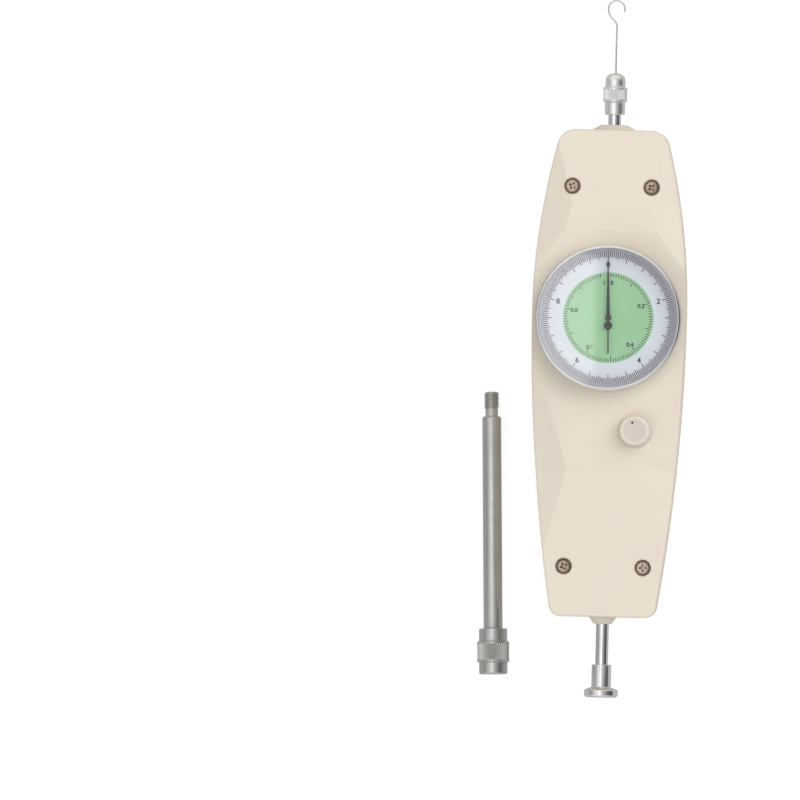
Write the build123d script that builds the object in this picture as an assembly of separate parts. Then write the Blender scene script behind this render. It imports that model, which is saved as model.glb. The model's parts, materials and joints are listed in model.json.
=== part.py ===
from build123d import *
from math import acos, atan, cos, degrees, pi, radians, sin, sqrt, tan
import os

# Dial force gauge, lying on its back, in millimetres. +Y runs along the measuring rod towards
# the hook, +Z points out of the dial. The origin is on the back face, under the dial's centre.

# Case
case_half_width = 30.0
widest_y = 2.0
top_y = 73.6
top_half_width = 20.2
bottom_y = -117.2
bottom_half_width = 20.3
top_corner_radius = 7.0
bottom_corner_radius = 4.5
case_wall = 2.5
back_chamfer = 1.5
parting_chamfer = 0.3
rod_height = 15.0

# Front panel: a plateau round the dial, then two slopes that meet in a crease at each waist
plateau_height = 34.0
plateau_half_length = 34.0
upper_waist_y = 44.7
upper_waist_height = 31.5
top_height = 27.5
lower_waist_y = -59.0
lower_waist_height = 30.5
bottom_height = 26.0

# Side facets: each runs from one point on the outline, in to the waist, and out again
upper_facet_top_y = 69.0
upper_facet_bottom_y = 19.0
upper_facet_inner_x = 15.5
lower_facet_top_y = -24.0
lower_facet_bottom_y = -92.0
lower_facet_inner_x = 15.0
facet_drop = 5.0

# Case screws, M3 with a cross recess
screw_x = 15.5
upper_screw_y = 51.3
lower_screw_y = -97.6
case_screw_radius = 1.5
case_screw_head_radius = 2.7
case_screw_head_height = 2.0
head_cover_thickness = 3.0
screw_column_radius = 5.0
screw_engagement = 9.0
cross_width = 0.7
cross_length = 3.4
cross_depth = 1.1
cross_turns = (25.0, 60.0, 5.0, 40.0)
thread_play = 0.05
bolt_play = 0.2
head_play = 0.5

# Threaded holes in the back, M4
back_hole_radius = 2.0
back_hole_depth = 8.0
back_hole_spacing_x = 40.0
back_hole_spacing_y = 60.0
back_hole_centre_y = -20.0
back_boss_wall = 2.5

# Measuring rod and its bushes
rod_radius = 2.5
running_play = 0.05
bush_radius = 4.0
bush_length = 11.0
bush_flange_radius = 5.5
bush_flange = 1.2
upper_boss_radius = 5.2
upper_boss_foot_radius = 8.7
upper_boss_height = 2.0
lower_boss_radius = 3.5
lower_boss_foot_radius = 5.4
lower_boss_height = 2.75
lower_bush_recess = 2.4
lower_mouth_play = 0.15
end_boss_core_radius = 6.0
pull_travel = 10.0
push_back_travel = 3.0
stop_margin = 1.0

# Hook and its holder
holder_length = 16.3
holder_tip_radius = 3.9
holder_tip_length = 5.4
holder_knurl_radius = 4.7
holder_knurl_length = 5.9
holder_foot_radius = 4.0
holder_tip_edge = (1.0, 1.2)
holder_thread_depth = 7.0
wire_radius = 0.35
wire_seat_depth = 6.0
hook_shank = 18.3
hook_throat = (-1.2, 2.43)
hook_side = (-3.45, 6.9)
hook_tip = (2.75, 5.8)

# Compression head
head_gap = 15.95
socket_radius = 3.85
socket_length = 8.8
head_cone_length = 1.0
flange_radius = 6.65
flange_length = 3.1
flange_edge = 0.7
head_thread_depth = 8.0
blind_end = 0.3

# Measuring spring, a coil round the rod, clamped to a collar on the rod and to an anchor ring
spring_radius = 5.5
spring_wire_radius = 0.45
spring_turns = 4
spring_length = 36.0
spring_end_gap = 0.1
collar_length = 6.0
collar_radius = 6.4
collar_low_y = -85.0
collar_pin_radius = 1.0
collar_pin_sink = 0.3
anchor_thickness = 2.0
anchor_radius = 6.6
rib_thickness = 3.0
front_rib_half_width = 6.5
back_rib_half_width = 12.0
rib_hole_play = 0.6
stop_collar_length = 5.0
stop_collar_radius = 5.0
set_screw_radius = 1.25
set_screw_sink = 0.1
set_screw_socket_radius = 0.75
set_screw_socket_depth = 1.0

# Rack, wheels and pinions
gear_module = 0.5
pressure_angle = radians(20)
addendum = 0.95
dedendum = 1.3
backlash = 0.10
root_rise = 0.05
mesh_play = 0.04
rack_pinion_teeth = 20
wheel_teeth = 44
centre_pinion_teeth = 14
rack_pitch_x = -3.0
rack_back_x = 3.0
rack_height = 3.0
rack_flat_height = 1.6
rack_flat_play = 0.2
rack_teeth = 19
rack_end = 1.8
rack_screw_x = 0.3
rack_screw_radius = 1.0
rack_screw_head_radius = 1.6
rack_screw_head = 1.2
rack_screw_length = 6.0
slot_width = 0.5
slot_depth = 0.4
guide_play = 0.1
guide_thickness = 3.0
guide_length = 12.0
rack_pinion_width = 2.2
wheel_width = 1.0
centre_pinion_width = 1.8
ratchet_width = 0.8
ratchet_radius = 7.0
ratchet_teeth = 45
ratchet_depth = 0.5
ratchet_face = 0.15
wheel_rim = 2.2
wheel_spokes = 4
wheel_spoke_width = 1.6
wheel_spoke_turn = 20.0
hub_wall = 1.4
wheel_rise = 0.7
ratchet_rise = 0.5

# Movement plates
plate_thickness = 1.2
plate_gap = 4.0
rack_to_plate = 0.6
plate_left_x = -19.0
plate_right_x = 18.0
plate_low_y = -32.5
plate_high_y = 13.0
plate_corner = 3.0
spacer_radius = 2.5
cover_boss_radius = 3.2
movement_screw_radius = 1.25
movement_screw_head_radius = 2.2
movement_screw_head = 1.4
movement_screw_bite = 3.2
spacer_places = [(-15.0, 9.0), (8.7, 9.0), (8.0, -29.0), (-15.0, -28.0)]
arbor_radius = 1.0
arbor_tip_radius = 0.4
arbor_tip_sink = 0.3
arbor_shoulder_drop = 1.0
arbor_clearance = 1.5
axial_play = 0.1

# Hairspring
collet_radius = 1.9
collet_gap = 0.05
hairspring_turns = 2
hairspring_pitch = 1.4
hairspring_strip = 0.18
hairspring_width = 1.0
hairspring_rise = 0.2
stud_radius = 0.6

# Bezel, dial and crystal
seat_ring_radius = 26.7
seat_ring_wall = 2.0
seat_ring_height = 4.0
snap_groove_depth = 0.7
snap_groove_height = 0.9
bezel_radius = 28.7
bezel_wall = 0.8
bezel_gap = 0.4
bezel_height = 11.4
bezel_shoulder = (0.35, 0.35)
bezel_shoulder_drop = 1.2
bezel_top_inset = 0.9
lip_radius = 27.3
lip_thickness = 0.8
carrier_height = 4.1
carrier_lip_bite = 0.45
carrier_lip_play = 0.1
dial_thickness = 0.8
dial_hole_radius = 1.3
dial_edge_radius = 26.0
dial_ring_top_radius = 26.9
crystal_thickness = 1.4
fit_play = 0.05
zero_angle = 1.2

# Pointer
pointer_tip_y = 25.0
pointer_tail_y = -14.0
pointer_tip_width = 0.25
pointer_width = 1.4
pointer_tail_width = 0.5
pointer_thickness = 0.35
pointer_lift = 1.2
counterweight_y = -3.1
counterweight_radius = 1.6
pointer_hub_radius = 0.75
pointer_hub_height = 1.1
pointer_hub_drop = 0.4

# Peak knob, its shaft, cam and hold lever
knob_x = 11.3
knob_y = -43.9
knob_radius = 5.9
knob_height = 5.2
knob_gap = 0.3
knob_edge = 0.7
knob_roof = 2.2
knob_dot_radius = 0.5
knob_dot_depth = 0.5
knob_dot_sink = 0.05
knob_dot_reach = 3.2
knob_dot_angle = 106.0
knob_seat_radius = 6.6
knob_seat_rise = 1.0
knob_seat_depth = 3.0
knob_boss_radius = 4.2
knob_boss_depth = 4.0
knob_shaft_radius = 2.0
knob_screw_radius = 1.0
knob_screw_head = 0.9
knob_screw_bite = 0.6
shaft_end = 0.6
cam_radius = 4.0
cam_offset = 1.6
cam_thickness = 1.2
cam_rest_angle = -45.0
clip_radius = 3.4
clip_thickness = 0.7
clip_groove = 0.4
clip_gap = 0.1
clip_mouth = 2.4
lever_arm = 16.0
lever_thickness = 0.8
lever_hub_radius = 2.6
lever_post_radius = 1.2
lever_post_foot = 0.9
lever_post_tip_radius = 0.6
lever_arm_radius = 2.0
follower_radius = 1.2
follower_gap = 0.15
pawl_gap = 0.15
pawl_side = -72.5
pawl_length = 1.6
pawl_heel = 0.7
pawl_root_radius = 0.9
lever_swing = 4.0
lever_spring_wire = 0.2
lever_spring_play = 0.05
lever_spring_rise = 0.45
lever_peg_radius = 0.4
lever_peg_height = 0.8
lever_peg_reach = 8.0
lever_leg_overrun = 1.5

# Extension rod, lying beside the gauge
extension_x = -44.3
extension_y = -85.4
extension_lean = 1.8
extension_length = 110.8
extension_radius = 3.7
extension_thread_radius = 3.0
extension_thread_length = 6.3
extension_neck_radius = 2.45
extension_neck_length = 3.3
extension_edge = 0.6
collar_foot_radius = 5.55
collar_foot_length = 4.5
collar_knurl_radius = 6.3
collar_knurl_length = 8.6
collar_head_radius = 5.5
collar_head_length = 4.8
collar_floor_y = 9.0
collar_edge = 0.6

# Knurls
knurl_depth = 0.3
knurl_pitch = 1.2

# How far a cutting tool reaches past what it cuts
beyond = 5.0

# Places worked out from the sizes above
split_z = rod_height
rod_axis = Pos(0, 0, rod_height)
upper_face_y = top_y + upper_boss_height
lower_face_y = bottom_y - lower_boss_height
lower_bush_y = lower_face_y + lower_bush_recess
holder_low_y = upper_face_y + push_back_travel + stop_margin
holder_high_y = holder_low_y + holder_length
head_top_y = lower_face_y - head_gap
head_face_y = head_top_y - socket_length - head_cone_length - flange_length

rack_low_z = rod_height + rack_flat_height
rack_high_z = rack_low_z + rack_height
rack_pinion_low_z = rack_low_z + (rack_height - rack_pinion_width) / 2
lower_plate_z = rack_high_z + rack_to_plate
upper_plate_z = lower_plate_z + plate_thickness + plate_gap
plate_top_z = upper_plate_z + plate_thickness
train_low_z = lower_plate_z + plate_thickness
wheel_z = train_low_z + wheel_rise
centre_pinion_z = wheel_z - (centre_pinion_width - wheel_width) / 2
ratchet_z = wheel_z + wheel_width + ratchet_rise
hairspring_z = ratchet_z + hairspring_rise

rack_pinion_pitch = rack_pinion_teeth * gear_module / 2
wheel_pitch = wheel_teeth * gear_module / 2
centre_pinion_pitch = centre_pinion_teeth * gear_module / 2
arbor_distance = wheel_pitch + centre_pinion_pitch + mesh_play
arbor_x = rack_pitch_x - rack_pinion_pitch - mesh_play
arbor_y = -sqrt(arbor_distance**2 - arbor_x**2)
rack_tooth_pitch = pi * gear_module
rack_length = rack_teeth * rack_tooth_pitch + 2 * rack_end
rack_middle_y = arbor_y + (push_back_travel - pull_travel) / 2

roof_z = plateau_height - case_wall
seat_top_z = plateau_height + seat_ring_height
bezel_low_z = plateau_height + bezel_gap
bezel_top_z = bezel_low_z + bezel_height
bezel_bore = bezel_radius - bezel_wall
inner_fit = bezel_bore - fit_play
crystal_top_z = bezel_top_z - lip_thickness
crystal_low_z = crystal_top_z - crystal_thickness
carrier_low_z = bezel_low_z + fit_play
dial_low_z = carrier_low_z + carrier_height
dial_top_z = dial_low_z + dial_thickness
groove_low_z = carrier_low_z - carrier_lip_play
pointer_z = dial_top_z + pointer_lift

spring_low_y = collar_low_y + collar_length
spring_high_y = spring_low_y + spring_length
rib_low_y = spring_high_y + anchor_thickness
stop_collar_high_y = upper_face_y - bush_length - bush_flange - pull_travel - stop_margin
cam_z = ratchet_z + (lever_thickness - cam_thickness) / 2


def side_x(y):
    """Half width of the case outline at y."""
    if y > widest_y:
        reach, fall = top_y - widest_y, case_half_width - top_half_width
    else:
        reach, fall = widest_y - bottom_y, case_half_width - bottom_half_width
    radius = (reach**2 + fall**2) / (2 * fall)
    return case_half_width - radius + sqrt(radius**2 - (y - widest_y) ** 2)


def on_line(start, end, y):
    """Height at y on the straight line through two (y, height) points."""
    return start[1] + (end[1] - start[1]) * (y - start[0]) / (end[0] - start[0])


def panel_height(y):
    """Height of the front panel's crest line at y."""
    if abs(y) <= plateau_half_length:
        return plateau_height
    if y > upper_waist_y:
        return on_line((upper_waist_y, upper_waist_height), (top_y, top_height), y)
    if y > 0:
        return on_line((plateau_half_length, plateau_height), (upper_waist_y, upper_waist_height), y)
    if y > lower_waist_y:
        return on_line((-plateau_half_length, plateau_height), (lower_waist_y, lower_waist_height), y)
    return on_line((lower_waist_y, lower_waist_height), (bottom_y, bottom_height), y)


knob_seat_z = panel_height(knob_y) + knob_seat_rise
knob_boss_z = panel_height(knob_y) - knob_boss_depth
knob_low_z = knob_seat_z + knob_gap
knob_top_z = knob_low_z + knob_height


def disc(radius, low, high, x=0, y=0):
    """Upright cylinder between two heights."""
    return Pos(x, y, (low + high) / 2) * Cylinder(radius, high - low)


def through(radius, x=0, y=0):
    """Upright cylinder taller than any part, for holes that go right through."""
    return disc(radius, -beyond, bezel_top_z + beyond, x, y)


def tube(outer, inner, low, high, x=0, y=0):
    return disc(outer, low, high, x, y) - disc(inner, low, high, x, y)


def lathe_upright(points):
    """Solid of revolution about Z from (radius, height) points."""
    outline = Plane.XZ * make_face(Polyline(points, close=True))
    return revolve(outline, Axis.Z)


def lathe_along_rod(points):
    """Solid of revolution about the rod's axis from (radius, y) points."""
    outline = make_face(Polyline(points, close=True))
    return rod_axis * revolve(outline, Axis.Y)


def bar_along_y(radius, low, high):
    return Pos(0, (low + high) / 2, 0) * Rot(90, 0, 0) * Cylinder(radius, high - low)


def bar_along_rod(radius, low, high):
    return rod_axis * bar_along_y(radius, low, high)


def block(x_range, y_range, z_range):
    size = [high - low for low, high in (x_range, y_range, z_range)]
    middle = [(low + high) / 2 for low, high in (x_range, y_range, z_range)]
    return Pos(*middle) * Box(*size)


def slab(low, high):
    """Block that reaches past the case all round, between two heights."""
    half = case_half_width + beyond
    return block((-half, half), (lower_face_y - beyond, upper_face_y + beyond), (low, high))


def column(radius, low, high, x, y):
    """Eight-sided column for places out of sight."""
    return Pos(x, y, low) * extrude(RegularPolygon(radius, 8, major_radius=False), high - low)


def knurled(radius, low, high):
    """Straight-knurled band about Y, on the Y axis itself."""
    grooves = round(2 * pi * radius / knurl_pitch)
    star = []
    for step in range(2 * grooves):
        reach = radius if step % 2 else radius - knurl_depth
        angle = pi * step / grooves
        star.append((reach * cos(angle), reach * sin(angle)))
    return Pos(0, low, 0) * extrude(Plane.XZ * make_face(Polyline(star, close=True)), -(high - low))


# ---- Case ----

def case_outline(inset):
    widest = (case_half_width, widest_y)
    upper_side = TangentArc(widest, (top_half_width, top_y), tangent=(0, 1))
    lower_side = TangentArc(widest, (bottom_half_width, bottom_y), tangent=(0, -1))
    top = Line((top_half_width, top_y), (-top_half_width, top_y))
    bottom = Line((bottom_half_width, bottom_y), (-bottom_half_width, bottom_y))
    sides = [upper_side, lower_side, mirror(upper_side, Plane.YZ), mirror(lower_side, Plane.YZ)]
    outline = make_face([top, bottom] + sides)
    corners = outline.vertices().sort_by(Axis.Y)
    outline = fillet(corners[-2:], top_corner_radius)
    outline = fillet(outline.vertices().sort_by(Axis.Y)[:2], bottom_corner_radius)
    return offset(outline, -inset) if inset else outline


def panel_profile(drop):
    """Side view of the front cover, in Y and Z, lowered by a drop."""
    low_end = (bottom_y - beyond, panel_height(bottom_y - beyond) - drop)
    high_end = (top_y + beyond, panel_height(top_y + beyond) - drop)
    points = [(bottom_y - beyond, 0), low_end, (lower_waist_y, lower_waist_height - drop),
              (-plateau_half_length, plateau_height - drop), (plateau_half_length, plateau_height - drop),
              (upper_waist_y, upper_waist_height - drop), high_end, (top_y + beyond, 0)]
    return extrude(Plane.YZ * make_face(Polyline(points, close=True)), case_half_width + beyond, both=True)


def above_plane(tool, a, b, c):
    """Part of a tool that lies above the plane through three points."""
    normal = (b - a).cross(c - a)
    if normal.Z < 0:
        normal = -normal
    return split(tool, bisect_by=Plane(origin=a, z_dir=normal), keep=Keep.TOP)


def facet_tool(waist_y, end_ys, inner_x, drop):
    """Wedge that cuts one facet on the +X side: two planes that meet in the waist's crease."""
    inner = Vector(inner_x, waist_y, panel_height(waist_y) - drop)
    outer = Vector(side_x(waist_y), waist_y, panel_height(waist_y) - facet_drop - drop)
    tool = slab(0, plateau_height + beyond)
    for y in end_ys:
        end = Vector(side_x(y), y, panel_height(y) - drop)
        tool = above_plane(tool, inner, outer, end)
    return tool


def cover_form(inset):
    """Outer form of the front cover, or its cavity when inset by the wall."""
    form = extrude(case_outline(inset), plateau_height + beyond) & panel_profile(inset)
    upper = facet_tool(upper_waist_y, (upper_facet_top_y, upper_facet_bottom_y), upper_facet_inner_x, inset)
    lower = facet_tool(lower_waist_y, (lower_facet_top_y, lower_facet_bottom_y), lower_facet_inner_x, inset)
    for tool in (upper, lower):
        form = form - tool - mirror(tool, Plane.YZ)
    return form


def end_bosses():
    """Turned bosses round the rod at both ends, shared by the two covers."""
    top_core_y = upper_face_y - bush_length
    top_foot_y = top_y - case_wall
    low_core_y = lower_bush_y + bush_length
    low_foot_y = bottom_y + case_wall
    upper = lathe_along_rod([(0, top_core_y), (end_boss_core_radius, top_core_y),
                             (end_boss_core_radius, top_foot_y), (upper_boss_foot_radius, top_foot_y),
                             (upper_boss_foot_radius, top_y), (upper_boss_radius, upper_face_y),
                             (0, upper_face_y)])
    lower = lathe_along_rod([(0, low_core_y), (end_boss_core_radius, low_core_y),
                             (end_boss_core_radius, low_foot_y), (lower_boss_foot_radius, low_foot_y),
                             (lower_boss_foot_radius, bottom_y), (lower_boss_radius, lower_face_y),
                             (0, lower_face_y)])
    return upper + lower


def screw_places():
    return [(side * screw_x, y) for y in (upper_screw_y, lower_screw_y) for side in (-1, 1)]


def screw_seat_z(y):
    """Underside of a case screw's head."""
    return panel_height(y) - head_cover_thickness


def bush_bores():
    upper = bar_along_rod(bush_radius, upper_face_y - bush_length, upper_face_y + beyond)
    lower = bar_along_rod(bush_radius, lower_bush_y, lower_bush_y + bush_length)
    mouth = bar_along_rod(rod_radius + lower_mouth_play, lower_face_y - beyond, lower_bush_y)
    return upper + lower + mouth


def spring_rib(high_z, low_z, half_width):
    """Cross wall that carries the spring's anchor ring, with a clear hole for the rod."""
    high_y = rib_low_y + rib_thickness
    wall = block((-half_width, half_width), (rib_low_y, high_y), (low_z, high_z))
    return wall - bar_along_rod(rod_radius + rib_hole_play, rib_low_y - beyond, high_y + beyond)


def cover_inside():
    """Columns, bosses and rib inside the front cover."""
    inside = spring_rib(roof_z, split_z, front_rib_half_width)
    for x, y in screw_places():
        inside += column(screw_column_radius, split_z, screw_seat_z(y) + head_cover_thickness / 2, x, y)
    for x, y in spacer_places:
        inside += column(cover_boss_radius, plate_top_z, roof_z + case_wall / 2, x, y)
    knob_boss_top = panel_height(knob_y) - case_wall / 2
    return inside + column(knob_boss_radius, knob_boss_z, knob_boss_top, knob_x, knob_y)


def cover_holes():
    holes = disc(arbor_radius + arbor_clearance, plate_top_z, seat_top_z + beyond)
    holes += through(knob_shaft_radius + running_play, knob_x, knob_y)
    for x, y in screw_places():
        holes += disc(case_screw_radius + bolt_play, split_z - beyond, screw_seat_z(y), x, y)
        holes += disc(case_screw_head_radius + head_play, screw_seat_z(y), plateau_height + beyond, x, y)
    for x, y in spacer_places:
        hole_top = plate_top_z + movement_screw_bite + blind_end
        holes += disc(movement_screw_radius + thread_play, plate_top_z - beyond, hole_top, x, y)
    return holes


def make_front_cover():
    outer = extrude(case_outline(0), plateau_height)
    outer = chamfer(outer.faces().sort_by(Axis.Z)[0].edges(), parting_chamfer)
    outer = (Pos(0, 0, split_z) * outer) & cover_form(0)
    cover = outer - cover_form(case_wall) + (cover_inside() & outer)
    cover += end_bosses() & slab(split_z, plateau_height)
    cover += disc(knob_seat_radius, knob_seat_z - knob_seat_depth, knob_seat_z, knob_x, knob_y)
    seat_low_z = plateau_height - case_wall / 2
    cover += tube(seat_ring_radius, seat_ring_radius - seat_ring_wall, seat_low_z, seat_top_z)
    cover -= tube(seat_ring_radius + beyond, seat_ring_radius - snap_groove_depth, groove_low_z,
                  groove_low_z + snap_groove_height)
    return cover - bush_bores() - cover_holes()


def back_hole_places():
    xs = (-back_hole_spacing_x / 2, back_hole_spacing_x / 2)
    ys = (back_hole_centre_y - back_hole_spacing_y / 2, back_hole_centre_y + back_hole_spacing_y / 2)
    return [(x, y) for x in xs for y in ys]


def make_back_cover():
    outer = extrude(case_outline(0), split_z)
    outer = chamfer(outer.faces().sort_by(Axis.Z)[0].edges(), back_chamfer)
    outer = chamfer(outer.faces().sort_by(Axis.Z)[-1].edges(), parting_chamfer)
    cavity = Pos(0, 0, case_wall) * extrude(case_outline(case_wall), split_z)
    floor_z = case_wall / 2
    inside = spring_rib(split_z, floor_z, back_rib_half_width)
    for x, y in screw_places():
        inside += column(screw_column_radius, floor_z, split_z, x, y)
    for x, y in back_hole_places():
        inside += column(back_hole_radius + back_boss_wall, floor_z, back_hole_depth + case_wall, x, y)
    cover = outer - cavity + (inside & outer)
    cover += end_bosses() & slab(0, split_z)
    cover -= bush_bores()
    for x, y in screw_places():
        hole_low = split_z - screw_engagement - blind_end
        cover -= disc(case_screw_radius + thread_play, hole_low, split_z + beyond, x, y)
    for x, y in back_hole_places():
        cover -= disc(back_hole_radius, -beyond, back_hole_depth, x, y)
    return cover


def cross_recess(width, length, depth, top_z, x, y, turn=0):
    arm = Pos(x, y, top_z) * Rot(0, 0, turn)
    return arm * Box(width, length, 2 * depth) + arm * Box(length, width, 2 * depth)


def make_case_screws():
    screws = []
    for count, (x, y) in enumerate(screw_places()):
        seat = screw_seat_z(y)
        head_top = seat + case_screw_head_height
        screw = disc(case_screw_radius, split_z - screw_engagement, seat, x, y)
        screw += disc(case_screw_head_radius, seat, head_top, x, y)
        recess = cross_recess(cross_width, cross_length, cross_depth, head_top, x, y, cross_turns[count])
        screws.append(screw - recess)
    return Compound(children=screws)


# ---- Rod ----

def make_bush(face_y, inward):
    """Bush with an inner flange; inward is -1 at the top end and +1 at the bottom end."""
    inner_y = face_y + inward * bush_length
    flange_y = inner_y + inward * bush_flange
    bore = rod_radius + running_play
    return lathe_along_rod([(bore, face_y), (bush_radius, face_y), (bush_radius, inner_y),
                            (bush_flange_radius, inner_y), (bush_flange_radius, flange_y), (bore, flange_y)])


def make_collar_pin():
    middle = collar_low_y + collar_length / 2
    bar = Rot(0, 90, 0) * Cylinder(collar_pin_radius, 2 * (collar_radius - collar_pin_sink))
    return rod_axis * Pos(0, middle, 0) * bar


def rack_screw_places():
    reach = rack_length / 2 - rack_end
    return [rack_middle_y - reach, rack_middle_y + reach]


def rack_screw_tool(y, play):
    bottom = rack_high_z - rack_screw_length - play
    head_low = rack_high_z - rack_screw_head - play
    screw = disc(rack_screw_radius + play, bottom, rack_high_z, rack_screw_x, y)
    return screw + disc(rack_screw_head_radius + play, head_low, rack_high_z, rack_screw_x, y)


def make_measuring_rod():
    rod = bar_along_rod(rod_radius, head_top_y - head_thread_depth, holder_low_y + holder_thread_depth)
    half = rack_length / 2 + rack_flat_play
    rod -= block((-beyond, beyond), (rack_middle_y - half, rack_middle_y + half),
                 (rack_low_z, rack_low_z + beyond))
    rod -= make_collar_pin()
    for y in rack_screw_places():
        rod -= rack_screw_tool(y, thread_play)
    return rod


def make_rack():
    """Toothed bar on the rod's flat; the teeth face the transfer arbor."""
    tip_x = rack_pitch_x - addendum * gear_module
    root_x = rack_pitch_x + dedendum * gear_module
    half_tooth = (rack_tooth_pitch / 2 - backlash) / 2
    tip_half = half_tooth - addendum * gear_module * tan(pressure_angle)
    root_half = half_tooth + dedendum * gear_module * tan(pressure_angle)
    low = rack_middle_y - rack_length / 2
    high = rack_middle_y + rack_length / 2
    first_space = rack_mesh_phase(low + rack_end)
    points = [(rack_back_x, low), (root_x, low)]
    for count in range(rack_teeth - 1):
        middle = first_space + (count + 0.5) * rack_tooth_pitch
        points += [(root_x, middle - root_half), (tip_x, middle - tip_half),
                   (tip_x, middle + tip_half), (root_x, middle + root_half)]
    points += [(root_x, high), (rack_back_x, high)]
    bar = extrude(make_face(Polyline(points, close=True)), rack_height)
    bar = Pos(0, 0, rack_low_z) * bar
    for y in rack_screw_places():
        bar -= rack_screw_tool(y, thread_play)
    return bar


def rack_mesh_phase(y):
    """Nearest middle of a tooth space at or above y, with a space in line with the transfer arbor."""
    count = int((arbor_y - y) / rack_tooth_pitch)
    return arbor_y - count * rack_tooth_pitch


def make_rack_screws():
    screws = []
    for y in rack_screw_places():
        screw = rack_screw_tool(y, 0)
        slot = Box(slot_width, 3 * rack_screw_head_radius, 2 * slot_depth)
        screws.append(screw - Pos(rack_screw_x, y, rack_high_z) * slot)
    return Compound(children=screws)


def make_spring_collar():
    collar = bar_along_rod(collar_radius, collar_low_y, spring_low_y)
    return collar - bar_along_rod(rod_radius, collar_low_y, spring_low_y) - make_collar_pin()


def make_measuring_spring():
    """Coil whose section has four sides that stand for a round wire."""
    length = spring_length - 2 * (spring_wire_radius + spring_end_gap)
    path = Helix(length / spring_turns, length, spring_radius, direction=(0, 1, 0))
    section = Plane(origin=path @ 0, z_dir=path % 0) * RegularPolygon(spring_wire_radius, 4)
    low = spring_low_y + spring_wire_radius + spring_end_gap
    return rod_axis * Pos(0, low, 0) * sweep(section, path=path, is_frenet=True)


def make_spring_anchor():
    ring = bar_along_rod(anchor_radius, spring_high_y, rib_low_y)
    return ring - bar_along_rod(rod_radius + rib_hole_play, spring_high_y, rib_low_y)


def make_stop_collar():
    low = stop_collar_high_y - stop_collar_length
    collar = bar_along_rod(stop_collar_radius, low, stop_collar_high_y)
    collar -= bar_along_rod(rod_radius, low, stop_collar_high_y)
    return collar - set_screw_bar(thread_play)


def set_screw_bar(play):
    y = stop_collar_high_y - stop_collar_length / 2
    top = rod_height + stop_collar_radius - set_screw_sink
    return disc(set_screw_radius + play, rod_height + rod_radius, top, 0, y)


def make_set_screw():
    y = stop_collar_high_y - stop_collar_length / 2
    top = rod_height + stop_collar_radius - set_screw_sink
    socket = extrude(Pos(0, y, top) * RegularPolygon(set_screw_socket_radius, 6), -set_screw_socket_depth)
    return set_screw_bar(0) - socket


def make_hook_holder():
    knurl_low = holder_low_y + holder_length - holder_tip_length - holder_knurl_length
    knurl_high = knurl_low + holder_knurl_length
    tip = [(0, knurl_high), (holder_tip_radius, knurl_high),
           (holder_tip_radius, holder_high_y - holder_tip_edge[1]),
           (holder_tip_radius - holder_tip_edge[0], holder_high_y), (0, holder_high_y)]
    holder = bar_along_rod(holder_foot_radius, holder_low_y, knurl_low)
    holder += rod_axis * knurled(holder_knurl_radius, knurl_low, knurl_high)
    holder += lathe_along_rod(tip)
    thread_top = holder_low_y + holder_thread_depth + blind_end
    holder -= bar_along_rod(rod_radius, holder_low_y - beyond, thread_top)
    return holder - bar_along_rod(wire_radius, holder_high_y - wire_seat_depth, holder_high_y + beyond)


def make_hook_wire():
    """Bent wire: a straight shank, a swan neck to the left, then an open loop. Its section has eight
    sides that stand for a round."""
    shank_low = (0, holder_high_y - wire_seat_depth)
    neck, throat, side, tip = [(x, holder_high_y + hook_shank + y)
                               for x, y in ((0, 0), hook_throat, hook_side, hook_tip)]
    shank = Line(shank_low, neck)
    first = TangentArc(neck, throat, tangent=(0, 1))
    second = TangentArc(throat, side, tangent=first % 1)
    loop = TangentArc(side, tip, tangent=second % 1)
    section = Plane(origin=(*shank_low, 0), z_dir=(0, 1, 0)) * RegularPolygon(wire_radius, 8)
    return rod_axis * sweep(section, path=Wire([shank, first, second, loop]))


def make_compression_head():
    cone_top = head_top_y - socket_length
    flange_top = cone_top - head_cone_length
    bore = rod_radius + thread_play
    bore_end = head_top_y - head_thread_depth - blind_end
    return lathe_along_rod([(bore, head_top_y), (socket_radius, head_top_y), (socket_radius, cone_top),
                            (flange_radius, flange_top), (flange_radius, head_face_y + flange_edge),
                            (flange_radius - flange_edge, head_face_y), (0, head_face_y), (0, bore_end),
                            (bore, bore_end)])


# ---- Wheels ----

def gear_outline(teeth):
    """Gear outline with one tooth on the +X side; each flank runs through three points of the involute."""
    pitch = teeth * gear_module / 2
    base = pitch * cos(pressure_angle)
    tip = pitch + addendum * gear_module
    root = pitch - dedendum * gear_module
    start = max(base, root + root_rise)
    middle = (start + tip) / 2
    pitch_half = (rack_tooth_pitch / 2 - backlash) / 2 / pitch
    involute = tan(pressure_angle) - pressure_angle

    def half_angle(radius):
        slope = acos(min(1, base / radius))
        return pitch_half + involute - (tan(slope) - slope)

    def point(radius, angle):
        return (radius * cos(angle), radius * sin(angle))

    outline = []
    for count in range(teeth):
        turn = count * 2 * pi / teeth
        for side, radii in ((-1, (root, start, middle, tip)), (1, (tip, middle, start, root))):
            for radius in radii:
                outline.append(point(radius, turn + side * half_angle(max(radius, start))))
    return make_face(Polyline(outline, close=True))


def gear(teeth, low, width, turn, x=0, y=0):
    return Pos(x, y, low) * Rot(0, 0, degrees(turn)) * extrude(gear_outline(teeth), width)


def make_rack_pinion():
    """Its tooth on the +X side lies in the rack's space that is in line with the arbor."""
    pinion = gear(rack_pinion_teeth, rack_pinion_low_z, rack_pinion_width, 0, arbor_x, arbor_y)
    return pinion - through(arbor_radius, arbor_x, arbor_y)


def centre_line_angle():
    """Direction from the transfer arbor to the centre arbor."""
    return acos(-arbor_x / arbor_distance)


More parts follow.
